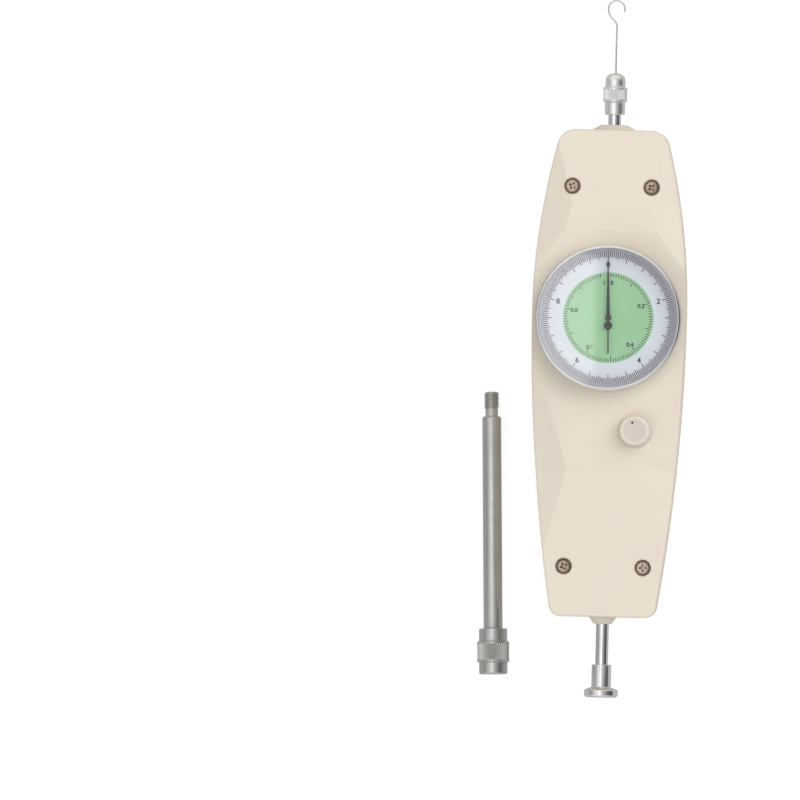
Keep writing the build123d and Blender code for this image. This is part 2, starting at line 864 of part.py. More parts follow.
def make_transfer_wheel():
    wheel = gear(wheel_teeth, wheel_z, wheel_width, centre_line_angle(), arbor_x, arbor_y)
    hub = arbor_radius + hub_wall
    rim = wheel_pitch - wheel_rim
    window = through(rim, arbor_x, arbor_y) - through(hub, arbor_x, arbor_y)
    for count in range(wheel_spokes):
        turn = Rot(0, 0, 360 / wheel_spokes * count + wheel_spoke_turn)
        spoke = turn * Pos(wheel_pitch / 2, 0, 0) * Box(wheel_pitch, wheel_spoke_width, 2 * bezel_top_z)
        window -= Pos(arbor_x, arbor_y) * spoke
    wheel -= window
    wheel += disc(hub, wheel_z, ratchet_z, arbor_x, arbor_y)
    return wheel - through(arbor_radius, arbor_x, arbor_y)


def make_ratchet_wheel():
    points = []
    step = 2 * pi / ratchet_teeth
    for count in range(ratchet_teeth):
        points.append((ratchet_radius * cos(count * step), ratchet_radius * sin(count * step)))
        root = ratchet_radius - ratchet_depth
        foot = (count + ratchet_face) * step
        points.append((root * cos(foot), root * sin(foot)))
    wheel = extrude(make_face(Polyline(points, close=True)), ratchet_width)
    return Pos(arbor_x, arbor_y, ratchet_z) * wheel - through(arbor_radius, arbor_x, arbor_y)


def make_transfer_arbor():
    return disc(arbor_radius, rack_pinion_low_z, plate_top_z - axial_play, arbor_x, arbor_y)


def centre_pinion_turn():
    """Turn that puts a space of the pinion on the line to the transfer arbor."""
    return centre_line_angle() + pi + pi / centre_pinion_teeth


def make_centre_pinion():
    pinion = gear(centre_pinion_teeth, centre_pinion_z, centre_pinion_width, centre_pinion_turn())
    return pinion - through(arbor_radius)


def make_centre_arbor():
    shoulder_z = dial_low_z - arbor_shoulder_drop
    arbor = disc(arbor_radius, lower_plate_z + axial_play, shoulder_z)
    return arbor + disc(arbor_tip_radius, shoulder_z, pointer_z + pointer_hub_height - arbor_tip_sink)


def make_hairspring_collet():
    top = hairspring_z + hairspring_width
    low = centre_pinion_z + centre_pinion_width + axial_play
    return tube(collet_radius, arbor_radius, low, top)


def stud_x():
    """The spiral's outer end lies on the -X side, against the stud."""
    return -(collet_radius + collet_gap + hairspring_strip + hairspring_turns * hairspring_pitch
             + collet_gap + stud_radius)


def make_hairspring():
    """Flat spiral of half rings, each a little larger than the last."""
    half = hairspring_strip / 2
    ribbon = []
    radius = collet_radius + collet_gap + half
    centre = 0.0
    for count in range(2 * hairspring_turns):
        side = 1 if count % 2 == 0 else -1
        ring = Circle(radius + half) - Circle(radius - half)
        ring &= Pos(0, side * 2 * radius) * Rectangle(4 * radius, 4 * radius)
        ribbon.append(Pos(centre, 0) * ring)
        centre -= side * hairspring_pitch / 2
        radius += hairspring_pitch / 2
    flat = ribbon[0]
    for ring in ribbon[1:]:
        flat += ring
    return Pos(0, 0, hairspring_z) * extrude(flat, hairspring_width)


def make_hairspring_stud():
    return disc(stud_radius, hairspring_z, plate_top_z, stud_x(), 0)


# ---- Movement plates ----

def plate(low):
    middle = ((plate_left_x + plate_right_x) / 2, (plate_low_y + plate_high_y) / 2)
    size = (plate_right_x - plate_left_x, plate_high_y - plate_low_y)
    sheet = Pos(middle[0], middle[1]) * RectangleRounded(size[0], size[1], plate_corner)
    sheet = Pos(0, 0, low) * extrude(sheet, plate_thickness)
    for x, y in spacer_places:
        sheet -= through(movement_screw_radius + bolt_play, x, y)
    for x, y in ((0, 0), (arbor_x, arbor_y)):
        sheet -= through(arbor_radius + running_play, x, y)
    post = lever_pivot()
    return sheet - through(lever_post_tip_radius, post.X, post.Y)


def make_upper_plate():
    return plate(upper_plate_z) - through(stud_radius, stud_x())


def make_plate_spacers():
    """Hexagonal spacers between the plates."""
    spacers = []
    for x, y in spacer_places:
        body = Pos(x, y, train_low_z) * extrude(RegularPolygon(spacer_radius, 6), plate_gap)
        spacers.append(body - disc(movement_screw_radius + bolt_play, train_low_z, upper_plate_z, x, y))
    return Compound(children=spacers)


def make_movement_screws():
    """Hexagon-head screws that hold both plates under the front cover."""
    screws = []
    for x, y in spacer_places:
        shank = disc(movement_screw_radius, lower_plate_z, plate_top_z + movement_screw_bite, x, y)
        head = Pos(x, y, lower_plate_z) * extrude(RegularPolygon(movement_screw_head_radius, 6),
                                                  -movement_screw_head)
        screws.append(shank + head)
    return Compound(children=screws)


def make_rack_guide():
    x_low = rack_back_x + guide_play
    y_range = (arbor_y - guide_length / 2, arbor_y + guide_length / 2)
    return block((x_low, x_low + guide_thickness), y_range, (rack_low_z + guide_play, lower_plate_z))


# ---- Peak knob and hold lever ----

def lever_pivot():
    reach = ratchet_radius + pawl_gap
    side = radians(pawl_side)
    contact = Vector(arbor_x + reach * cos(side), arbor_y + reach * sin(side))
    return contact + Vector(-sin(side), cos(side)) * lever_arm


def follower_place():
    """Rest place of the lever's round follower, to the right of the knob's axis."""
    cam_angle = radians(cam_rest_angle)
    gap = cam_radius + follower_radius + follower_gap
    across = cam_offset * cos(cam_angle) + sqrt(gap**2 - (cam_offset * sin(cam_angle)) ** 2)
    return Vector(knob_x + across, knob_y)


def make_hold_lever():
    pivot = lever_pivot()
    side = radians(pawl_side)
    reach = ratchet_radius + pawl_gap
    tip = Vector(arbor_x + reach * cos(side), arbor_y + reach * sin(side))
    outward = Vector(cos(side), sin(side))
    root = tip + outward * pawl_length
    along = Vector(-sin(side), cos(side))
    tooth = make_face(Polyline([tip, root - along * pawl_heel, root + along * pawl_length], close=True))
    pawl_arm = make_hull(Sketch([Pos(pivot.X, pivot.Y) * Circle(lever_arm_radius),
                                 Pos(root.X, root.Y) * Circle(pawl_root_radius)]).edges())
    pawl = Pos(pivot.X, pivot.Y) * Rot(0, 0, lever_swing) * Pos(-pivot.X, -pivot.Y) * (pawl_arm + tooth)
    end = follower_place()
    cam_arm = make_hull(Sketch([Pos(pivot.X, pivot.Y) * Circle(lever_arm_radius),
                                Pos(end.X, end.Y) * Circle(follower_radius)]).edges())
    flat = pawl + cam_arm + Pos(pivot.X, pivot.Y) * Circle(lever_hub_radius)
    lever = Pos(0, 0, ratchet_z) * extrude(flat, lever_thickness)
    peg_x = spring_leg_x() - lever_spring_wire - lever_spring_play - lever_peg_radius
    peg_top = ratchet_z + lever_thickness + lever_peg_height
    lever += disc(lever_peg_radius, ratchet_z, peg_top, peg_x, pivot.Y - lever_peg_reach)
    return lever - through(lever_post_radius + running_play, pivot.X, pivot.Y)


def make_lever_post():
    pivot = lever_pivot()
    post = disc(lever_post_radius, train_low_z, upper_plate_z, pivot.X, pivot.Y)
    post += disc(lever_post_radius + lever_post_foot, train_low_z, ratchet_z - axial_play, pivot.X, pivot.Y)
    return post + disc(lever_post_tip_radius, lower_plate_z, plate_top_z, pivot.X, pivot.Y)


def spring_leg_x():
    """The spring's legs run beside the spacer above the post."""
    x, y = spacer_places[1]
    return x + spacer_radius + lever_spring_play + lever_spring_wire


def make_lever_spring():
    """Hairpin spring, one turn round the post: a leg behind the lever's peg, a leg behind a spacer."""
    pivot = lever_pivot()
    low = ratchet_z + lever_thickness + lever_spring_wire + lever_spring_play
    radius = spring_leg_x() - pivot.X
    high = low + lever_spring_rise
    coil = Pos(pivot.X, pivot.Y, low) * Helix(lever_spring_rise, lever_spring_rise, radius)
    x = spring_leg_x()
    peg_leg = Line((x, pivot.Y - lever_peg_reach - lever_leg_overrun, low), (x, pivot.Y, low))
    spacer_leg = Line((x, pivot.Y, high), (x, spacer_places[1][1] + lever_leg_overrun, high))
    section = Plane(origin=peg_leg @ 0, z_dir=(0, 1, 0)) * RegularPolygon(lever_spring_wire, 6)
    return sweep(section, path=Wire([peg_leg, coil.edge(), spacer_leg]))


def make_knob_shaft():
    shaft = disc(knob_shaft_radius, cam_z - shaft_end, knob_top_z - knob_roof, knob_x, knob_y)
    shaft -= tube(knob_shaft_radius + beyond, knob_shaft_radius - clip_groove, knob_clip_z(),
                  knob_clip_z() + clip_thickness, knob_x, knob_y)
    hole_top = cam_z + cam_thickness + knob_screw_bite + blind_end
    return shaft - disc(knob_screw_radius + thread_play, cam_z - beyond, hole_top, knob_x, knob_y)


def knob_clip_z():
    return knob_boss_z - clip_gap - clip_thickness


def make_cam_screw():
    head_top = cam_z - shaft_end
    head_low = head_top - knob_screw_head
    screw = disc(knob_screw_radius, head_top, cam_z + cam_thickness + knob_screw_bite, knob_x, knob_y)
    head = disc(knob_shaft_radius, head_low, head_top, knob_x, knob_y)
    slot = Pos(knob_x, knob_y, head_low) * Box(3 * knob_shaft_radius, slot_width, 2 * slot_depth)
    return screw + head - slot


def make_knob_cam():
    angle = radians(cam_rest_angle)
    x, y = knob_x + cam_offset * cos(angle), knob_y + cam_offset * sin(angle)
    cam = disc(cam_radius, cam_z, cam_z + cam_thickness, x, y)
    return cam - through(knob_shaft_radius, knob_x, knob_y)


def make_knob_clip():
    """E-shaped retaining clip in the shaft's groove."""
    low = knob_clip_z()
    ring = tube(clip_radius, knob_shaft_radius - clip_groove, low, low + clip_thickness, knob_x, knob_y)
    half = clip_mouth / 2
    return ring - block((knob_x - half, knob_x + half), (knob_y - beyond, knob_y), (0, bezel_top_z))


def knob_dot_place():
    angle = radians(knob_dot_angle)
    return knob_x + knob_dot_reach * cos(angle), knob_y + knob_dot_reach * sin(angle)


def make_peak_knob():
    knob = disc(knob_radius, knob_low_z, knob_top_z, knob_x, knob_y)
    knob = chamfer(knob.edges().sort_by(Axis.Z)[-1], knob_edge)
    knob -= disc(knob_dot_radius, knob_top_z - knob_dot_depth, knob_top_z + beyond, *knob_dot_place())
    return knob - disc(knob_shaft_radius, knob_low_z - beyond, knob_top_z - knob_roof, knob_x, knob_y)


def make_knob_dot():
    return disc(knob_dot_radius, knob_top_z - knob_dot_depth, knob_top_z - knob_dot_sink, *knob_dot_place())


# ---- Bezel and dial ----

def make_bezel():
    return lathe_upright([
        (bezel_bore, bezel_low_z), (bezel_radius, bezel_low_z),
        (bezel_radius, bezel_top_z - bezel_shoulder_drop),
        (bezel_radius - bezel_shoulder[0], bezel_top_z - bezel_shoulder[1]),
        (bezel_radius - bezel_top_inset, bezel_top_z), (lip_radius, bezel_top_z),
        (lip_radius, crystal_top_z), (bezel_bore, crystal_top_z)])


def make_carrier_ring():
    """Ring under the dial whose inner lip snaps into the cover's groove."""
    bore = seat_ring_radius + running_play
    lip = seat_ring_radius - carrier_lip_bite
    lip_high = groove_low_z + snap_groove_height - carrier_lip_play
    return lathe_upright([(lip, carrier_low_z), (inner_fit, carrier_low_z), (inner_fit, dial_low_z),
                          (bore, dial_low_z), (bore, lip_high), (lip, lip_high)])


def make_dial_plate():
    return tube(inner_fit, dial_hole_radius, dial_low_z, dial_top_z)


def make_dial_ring():
    return lathe_upright([(dial_edge_radius, dial_top_z), (inner_fit, dial_top_z),
                          (inner_fit, crystal_low_z), (dial_ring_top_radius, crystal_low_z)])


def make_crystal():
    return disc(inner_fit, crystal_low_z, crystal_top_z)


def make_pointer():
    half = pointer_width / 2
    tip = pointer_tip_width / 2
    tail = pointer_tail_width / 2
    blade = make_face(Polyline([(-tip, pointer_tip_y), (tip, pointer_tip_y), (half, 0),
                                (tail, counterweight_y), (tail, pointer_tail_y), (-tail, pointer_tail_y),
                                (-tail, counterweight_y), (-half, 0)], close=True))
    flat = blade + Pos(0, counterweight_y) * Circle(counterweight_radius)
    pointer = Pos(0, 0, pointer_z) * extrude(flat, pointer_thickness)
    hub_top = pointer_z + pointer_hub_height
    pointer += disc(pointer_hub_radius, pointer_z - pointer_hub_drop, hub_top)
    pointer -= disc(arbor_tip_radius, pointer_z - beyond, hub_top - arbor_tip_sink)
    return Rot(0, 0, zero_angle) * pointer


# ---- Extension rod ----

def extension_place():
    """Lays the rod on the surface: it leans until the collar's knurl and the rod's shoulder both touch."""
    knurl = collar_foot_length + collar_knurl_length
    shoulder = extension_length - extension_thread_length - extension_neck_length - extension_edge
    fall = atan((collar_knurl_radius - extension_radius) / (shoulder - knurl))
    height = knurl * sin(fall) + collar_knurl_radius * cos(fall)
    lay = Rot(0, 0, extension_lean) * Pos(0, -extension_length / 2, height) * Rot(-degrees(fall), 0, 0)
    return Pos(extension_x, extension_y, 0) * lay


def make_extension_rod():
    thread = extension_length - extension_thread_length
    neck = thread - extension_neck_length
    outline = [(0, collar_floor_y), (extension_radius, collar_floor_y),
               (extension_radius, neck - extension_edge), (extension_radius - extension_edge, neck),
               (extension_neck_radius, neck),
               (extension_neck_radius, thread), (extension_thread_radius, thread),
               (extension_thread_radius, extension_length), (0, extension_length)]
    return extension_place() * revolve(make_face(Polyline(outline, close=True)), Axis.Y)


def make_extension_collar():
    """Knurled collar with a threaded socket at its foot and the rod pressed in from its head."""
    knurl_low = collar_foot_length
    knurl_high = knurl_low + collar_knurl_length
    top = knurl_high + collar_head_length
    foot = [(0, 0), (collar_foot_radius - collar_edge, 0), (collar_foot_radius, collar_edge),
            (collar_foot_radius, knurl_low), (0, knurl_low)]
    collar = revolve(make_face(Polyline(foot, close=True)), Axis.Y)
    collar += knurled(collar_knurl_radius, knurl_low, knurl_high)
    collar += bar_along_y(collar_head_radius, knurl_high, top)
    collar -= bar_along_y(rod_radius, -beyond, collar_floor_y)
    return extension_place() * (collar - bar_along_y(extension_radius, collar_floor_y, top + beyond))


def main():
    parts = {
        "front_cover": make_front_cover(),
        "back_cover": make_back_cover(),
        "case_screws": make_case_screws(),
        "upper_bush": make_bush(upper_face_y, -1),
        "lower_bush": make_bush(lower_bush_y, 1),
        "spring_anchor": make_spring_anchor(),
        "lower_plate": plate(lower_plate_z),
        "upper_plate": make_upper_plate(),
        "plate_spacers": make_plate_spacers(),
        "movement_screws": make_movement_screws(),
        "rack_guide": make_rack_guide(),
        "hairspring_stud": make_hairspring_stud(),
        "lever_post": make_lever_post(),
        "measuring_rod": make_measuring_rod(),
        "rack": make_rack(),
        "rack_screws": make_rack_screws(),
        "spring_collar": make_spring_collar(),
        "collar_pin": make_collar_pin(),
        "measuring_spring": make_measuring_spring(),
        "stop_collar": make_stop_collar(),
        "set_screw": make_set_screw(),
        "hook_holder": make_hook_holder(),
        "hook_wire": make_hook_wire(),
        "compression_head": make_compression_head(),
        "transfer_arbor": make_transfer_arbor(),
        "rack_pinion": make_rack_pinion(),
        "transfer_wheel": make_transfer_wheel(),
        "ratchet_wheel": make_ratchet_wheel(),
        "centre_arbor": make_centre_arbor(),
        "centre_pinion": make_centre_pinion(),
        "hairspring_collet": make_hairspring_collet(),
        "hairspring": make_hairspring(),
        "pointer": make_pointer(),
        "bezel": make_bezel(),
        "carrier_ring": make_carrier_ring(),
        "dial_plate": make_dial_plate(),
        "dial_ring": make_dial_ring(),
        "crystal": make_crystal(),
        "peak_knob": make_peak_knob(),
        "knob_dot": make_knob_dot(),
        "knob_shaft": make_knob_shaft(),
        "knob_cam": make_knob_cam(),
        "cam_screw": make_cam_screw(),
        "knob_clip": make_knob_clip(),
        "hold_lever": make_hold_lever(),
        "lever_spring": make_lever_spring(),
        "extension_rod": make_extension_rod(),
        "extension_collar": make_extension_collar(),
    }
    os.makedirs("parts", exist_ok=True)
    for name, shape in parts.items():
        export_step(shape, f"parts/{name}.step")
        print(name, round(shape.volume, 2))


main()
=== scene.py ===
import bpy
import json
import math
from mathutils import Matrix, Vector


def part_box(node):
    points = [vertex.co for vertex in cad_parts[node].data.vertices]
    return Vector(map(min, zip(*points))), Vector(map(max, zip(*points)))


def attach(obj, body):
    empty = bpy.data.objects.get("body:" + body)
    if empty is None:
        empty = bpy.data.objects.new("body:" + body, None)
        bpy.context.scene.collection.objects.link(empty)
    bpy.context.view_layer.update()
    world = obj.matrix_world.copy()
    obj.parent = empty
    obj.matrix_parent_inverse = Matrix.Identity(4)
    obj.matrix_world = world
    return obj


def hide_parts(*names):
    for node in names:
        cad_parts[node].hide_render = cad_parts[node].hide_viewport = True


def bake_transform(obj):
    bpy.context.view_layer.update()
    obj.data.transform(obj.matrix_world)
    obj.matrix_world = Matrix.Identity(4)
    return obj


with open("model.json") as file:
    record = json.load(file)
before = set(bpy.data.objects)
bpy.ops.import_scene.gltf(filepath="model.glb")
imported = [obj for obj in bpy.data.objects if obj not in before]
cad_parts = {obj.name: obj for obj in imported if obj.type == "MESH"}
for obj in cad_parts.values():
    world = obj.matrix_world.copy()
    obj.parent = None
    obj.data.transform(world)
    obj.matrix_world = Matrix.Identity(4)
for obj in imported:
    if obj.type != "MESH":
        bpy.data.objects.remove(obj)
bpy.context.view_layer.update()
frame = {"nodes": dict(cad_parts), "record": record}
print("frame loaded,", len(frame["nodes"]), "nodes")
mm = 0.001
mergeReach = 0.0001 * mm

# Small helpers for the modelling below

def deselectAll():
    if bpy.context.object and bpy.context.object.mode != "OBJECT":
        bpy.ops.object.mode_set(mode="OBJECT")
    bpy.ops.object.select_all(action="DESELECT")
    bpy.context.view_layer.objects.active = None


def pick(piece):
    deselectAll()
    piece.select_set(True)
    bpy.context.view_layer.objects.active = piece


def named(name):
    piece = bpy.context.object
    piece.name = name
    piece.data.name = name
    return piece


def settle(piece):
    pick(piece)
    bpy.ops.object.transform_apply(location=True, rotation=True, scale=True)
    return piece


def selectWhere(piece, test):
    # Selects the vertices that pass the test, and stays in edit mode
    pick(piece)
    bpy.ops.object.mode_set(mode="EDIT")
    bpy.ops.mesh.select_mode(type="VERT")
    bpy.ops.mesh.select_all(action="DESELECT")
    bpy.ops.object.mode_set(mode="OBJECT")
    for vertex in piece.data.vertices:
        vertex.select = test(vertex.co)
    bpy.ops.object.mode_set(mode="EDIT")


def joinAll(pieces, name):
    deselectAll()
    for piece in pieces:
        piece.select_set(True)
    bpy.context.view_layer.objects.active = pieces[0]
    bpy.ops.object.join()
    return named(name)


def soften(piece, width, segments=2, degrees=30):
    # Rounds the edges sharper than the angle, width in millimetres, then shades the rest smooth
    pick(piece)
    if width:
        bpy.ops.object.modifier_add(type="BEVEL")
        bevel = piece.modifiers[-1]
        bevel.width = width * mm
        bevel.segments = segments
        bevel.angle_limit = math.radians(degrees)
        bpy.ops.object.modifier_apply(modifier=bevel.name)
    bpy.ops.object.shade_smooth_by_angle(angle=math.radians(degrees))
    return piece


def finishPiece(piece, body, material, replaced=()):
    piece.data.materials.clear()
    piece.data.materials.append(finish[material])
    if body:
        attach(piece, body)
    if replaced:
        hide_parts(*replaced)
    return piece


def drawLine(name, points):
    # One vertex, extruded from point to point, and left in edit mode
    deselectAll()
    bpy.ops.mesh.primitive_plane_add(size=mm)
    piece = named(name)
    bpy.ops.object.mode_set(mode="EDIT")
    bpy.ops.mesh.select_all(action="SELECT")
    bpy.ops.mesh.merge(type="CENTER")
    bpy.ops.transform.translate(value=points[0])
    for before, after in zip(points, points[1:]):
        bpy.ops.mesh.extrude_vertices_move(TRANSFORM_OT_translate={"value": after - before})
    return piece


def faceOutwards(merge=True):
    # In edit mode: merges the points that share a place, and turns the faces outwards
    bpy.ops.mesh.select_all(action="SELECT")
    if merge:
        bpy.ops.mesh.remove_doubles(threshold=mergeReach)
    bpy.ops.mesh.normals_make_consistent(inside=False)


def turned(name, profile, axis, place=(0, 0, 0), steps=72):
    # A lathe: (radius, distance along the axis) points in millimetres, spun about Y or Z and
    # moved to its place
    points = [Vector((r, along, 0) if axis == "Y" else (r, 0, along)) * mm for r, along in profile]
    piece = drawLine(name, points)
    bpy.ops.mesh.select_all(action="SELECT")
    bpy.ops.mesh.spin(steps=steps, angle=2 * math.pi, center=(0, 0, 0),
                      axis=(0, 1, 0) if axis == "Y" else (0, 0, 1))
    faceOutwards()
    bpy.ops.transform.translate(value=place)
    bpy.ops.object.mode_set(mode="OBJECT")
    return piece


def wind(piece, pitch, turns, steps, weld=0):
    # A helix about Y, made by a Screw modifier: weld merges the turns where they meet
    bpy.ops.object.modifier_add(type="SCREW")
    winding = piece.modifiers[-1]
    winding.axis = "Y"
    winding.screw_offset = pitch
    winding.iterations = turns
    winding.steps = winding.render_steps = steps
    if weld:
        winding.use_merge_vertices = True
        winding.merge_threshold = weld
    bpy.ops.object.modifier_apply(modifier=winding.name)


def edge(radius, along, steps):
    # Profile points of a rounded edge: how far each lies in from the radius and on along the axis
    return [(radius - inset, along + rise) for inset, rise in steps]


def knurlRows(radius, low, high, rows):
    # Profile points of a band that raiseKnurl then cuts: one point for each row of diamonds
    return [(radius, low + (high - low) * row / rows) for row in range(rows + 1)]


def raiseKnurl(piece, low, high, rows, steps, depth, axisHeight=0.0):
    # Pulls every other point of the band in, and splits its faces so that the rest stand up as
    # diamonds
    step = (high - low) / rows

    def sunk(place):
        row = (place.y / mm - low) / step
        if not 0.5 < row < rows - 0.5:
            return False
        column = round(math.atan2(place.z - axisHeight, place.x) * steps / (2 * math.pi))
        return (round(row) + column) % 2 == 0

    selectWhere(piece, sunk)
    bpy.ops.transform.shrink_fatten(value=-depth * mm)
    bpy.ops.object.mode_set(mode="OBJECT")
    selectWhere(piece, lambda place: low - step / 2 < place.y / mm < high + step / 2)
    bpy.ops.mesh.quads_convert_to_tris(quad_method="SHORTEST_DIAGONAL")
    bpy.ops.object.mode_set(mode="OBJECT")


# Materials

def sRgb(red, green, blue):
    # Turns the 0-255 values a colour picker shows into the linear values that a shader takes
    def linear(value):
        value /= 255
        return value / 12.92 if value <= 0.04045 else ((value + 0.055) / 1.055) ** 2.4
    return (linear(red), linear(green), linear(blue), 1)


def newNode(tree, kind, inputs=(), **settings):
    node = tree.nodes.new(kind)
    for name, value in settings.items():
        setattr(node, name, value)
    for name, value in dict(inputs).items():
        if isinstance(value, bpy.types.NodeSocket):
            tree.links.new(value, node.inputs[name])
        else:
            node.inputs[name].default_value = value
    return node


def newGroup(name, inputs, outputs):
    group = bpy.data.node_groups.new(name, "ShaderNodeTree")
    for label, kind, value in inputs:
        socket = group.interface.new_socket(label, in_out="INPUT", socket_type=kind)
        if value is not None:
            socket.default_value = value
    for label, kind in outputs:
        group.interface.new_socket(label, in_out="OUTPUT", socket_type=kind)
    start = group.nodes.new("NodeGroupInput")
    end = group.nodes.new("NodeGroupOutput")
    return group, start, end


def mathsNode(tree, operation, *values, **settings):
    node = newNode(tree, "ShaderNodeMath", enumerate(values), operation=operation, **settings)
    return node.outputs[0]


def mapRange(tree, value, fromMin, fromMax, toMin=0, toMax=1, **settings):
    inputs = {"Value": value, "From Min": fromMin, "From Max": fromMax,
              "To Min": toMin, "To Max": toMax}
    return newNode(tree, "ShaderNodeMapRange", inputs, **settings).outputs["Result"]


def objectPlace(tree):
    return newNode(tree, "ShaderNodeTexCoord").outputs["Object"]


def reachFromZ(tree, place):
    # How far a place lies from the Z axis
    flat = newNode(tree, "ShaderNodeVectorMath", {0: place, 1: (1, 1, 0)}, operation="MULTIPLY")
    reach = newNode(tree, "ShaderNodeVectorMath", {0: flat.outputs["Vector"]}, operation="LENGTH")
    return reach.outputs["Value"]


def makeGrain():
    # Noise stretched along an axis, spread between Low and High: colour drift, scratches and
    # fine texture
    noiseRange = (0.3, 0.7)
    inputs = [("Stretch", "NodeSocketVector", (1, 1, 1)), ("Scale", "NodeSocketFloat", 500),
              ("Detail", "NodeSocketFloat", 3), ("Low", "NodeSocketFloat", 0),
              ("High", "NodeSocketFloat", 1)]
    group, start, end = newGroup("grain", inputs, [("Value", "NodeSocketFloat")])
    stretch = newNode(group, "ShaderNodeVectorMath",
                      {0: objectPlace(group), 1: start.outputs["Stretch"]}, operation="MULTIPLY")
    noise = newNode(group, "ShaderNodeTexNoise",
                    {"Vector": stretch.outputs["Vector"], "Scale": start.outputs["Scale"],
                     "Detail": start.outputs["Detail"]})
    spread = mapRange(group, noise.outputs["Fac"], *noiseRange,
                      start.outputs["Low"], start.outputs["High"])
    group.links.new(spread, end.inputs["Value"])
    return group


def makeSpecks():
    # Scattered dots for dust, chips and print noise: Amount is the share that they cover
    topOfNoise, crispness = 0.72, 12
    inputs = [("Scale", "NodeSocketFloat", 900), ("Amount", "NodeSocketFloat", 0.1)]
    group, start, end = newGroup("specks", inputs, [("Mask", "NodeSocketFloat")])
    fine = newNode(group, "ShaderNodeTexNoise",
                   {"Vector": objectPlace(group), "Scale": start.outputs["Scale"], "Detail": 2})
    threshold = mathsNode(group, "SUBTRACT", topOfNoise, start.outputs["Amount"])
    cut = mathsNode(group, "SUBTRACT", fine.outputs["Fac"], threshold)
    mask = mathsNode(group, "MULTIPLY", cut, crispness, use_clamp=True)
    group.links.new(mask, end.inputs["Mask"])
    return group


def makeTurning():
    # Fine tool marks of a turned piece: Across is the distance that the marks follow, along or
    # out from the axis
    inputs = [("Across", "NodeSocketFloat", 0), ("Pitch", "NodeSocketFloat", 0.0002)]
    group, start, end = newGroup("turning", inputs, [("Height", "NodeSocketFloat")])
    rate = mathsNode(group, "DIVIDE", start.outputs["Across"], start.outputs["Pitch"])
    line = newNode(group, "ShaderNodeCombineXYZ", {"X": rate})
    noise = newNode(group, "ShaderNodeTexNoise",
                    {"Vector": line.outputs["Vector"], "Scale": 1, "Detail": 3})
    group.links.new(noise.outputs["Fac"], end.inputs["Height"])
    return group


grainGroup = makeGrain()
specksGroup = makeSpecks()
turningGroup = makeTurning()


def grain(tree, low, high, scale, stretch=(1, 1, 1), detail=3):
    node = newNode(tree, "ShaderNodeGroup", node_tree=grainGroup)
    values = {"Stretch": stretch, "Scale": scale, "Detail": detail, "Low": low, "High": high}
    for label, value in values.items():
        node.inputs[label].default_value = value
    return node.outputs["Value"]


def specks(tree, scale, amount):
    node = newNode(tree, "ShaderNodeGroup", node_tree=specksGroup)
    node.inputs["Scale"].default_value = scale
    node.inputs["Amount"].default_value = amount
    return node.outputs["Mask"]


def turning(tree, across, pitch):
    node = newNode(tree, "ShaderNodeGroup", node_tree=turningGroup)
    tree.links.new(across, node.inputs["Across"])
    node.inputs["Pitch"].default_value = pitch
    return node.outputs["Height"]


def startMaterial(name, **plain):
    material = bpy.data.materials.new(name)
    material.use_nodes = True
    tree = material.node_tree
    shader = tree.nodes["Principled BSDF"]
    for label, value in plain.items():
        shader.inputs[label].default_value = value
    return material, tree, shader


def mixColour(tree, factor, first, second):
    node = newNode(tree, "ShaderNodeMix", data_type="RGBA")
    # The colour mix has its factor, A and B at these places, and its result at the last one
    factorInput, firstInput, secondInput, result = 0, 6, 7, 2
    for socket, value in ((factorInput, factor), (firstInput, first), (secondInput, second)):
        if isinstance(value, bpy.types.NodeSocket):
            tree.links.new(value, node.inputs[socket])
        else:
            node.inputs[socket].default_value = value
    return node.outputs[result]


def addBump(tree, shader, height, distance, rounded=0):
    # Rounded eases the crisp edges of a cast cover by that radius
    bump = newNode(tree, "ShaderNodeBump", {"Height": height, "Distance": distance})
    if rounded:
        ease = newNode(tree, "ShaderNodeBevel", {"Radius": rounded}, samples=6)
        tree.links.new(ease.outputs["Normal"], bump.inputs["Normal"])
    tree.links.new(bump.outputs["Normal"], shader.inputs["Normal"])


def paintMaterial(name, base, drift, roughness, peel, rounded=0):
    # Sprayed paint: a slight drift of colour, orange peel, and a few specks of dust under the coat
    size = {"driftScale": 60, "dustScale": 2600, "dustShare": 0.02, "dustShade": 0.75,
            "glossScale": 350, "smoother": 0.05, "rougher": 0.07, "peelScale": 1500}
    material, tree, shader = startMaterial(name)
    dust = [channel * size["dustShade"] for channel in sRgb(*drift)[:3]] + [1]
    tint = mixColour(tree, grain(tree, 0, 1, size["driftScale"]), sRgb(*base), sRgb(*drift))
    dusty = mixColour(tree, specks(tree, size["dustScale"], size["dustShare"]), tint, dust)
    tree.links.new(dusty, shader.inputs["Base Color"])
    gloss = grain(tree, roughness - size["smoother"], roughness + size["rougher"],
                  size["glossScale"])
    tree.links.new(gloss, shader.inputs["Roughness"])
    addBump(tree, shader, grain(tree, 0, 1, size["peelScale"], detail=2), peel * mm, rounded * mm)
    return material


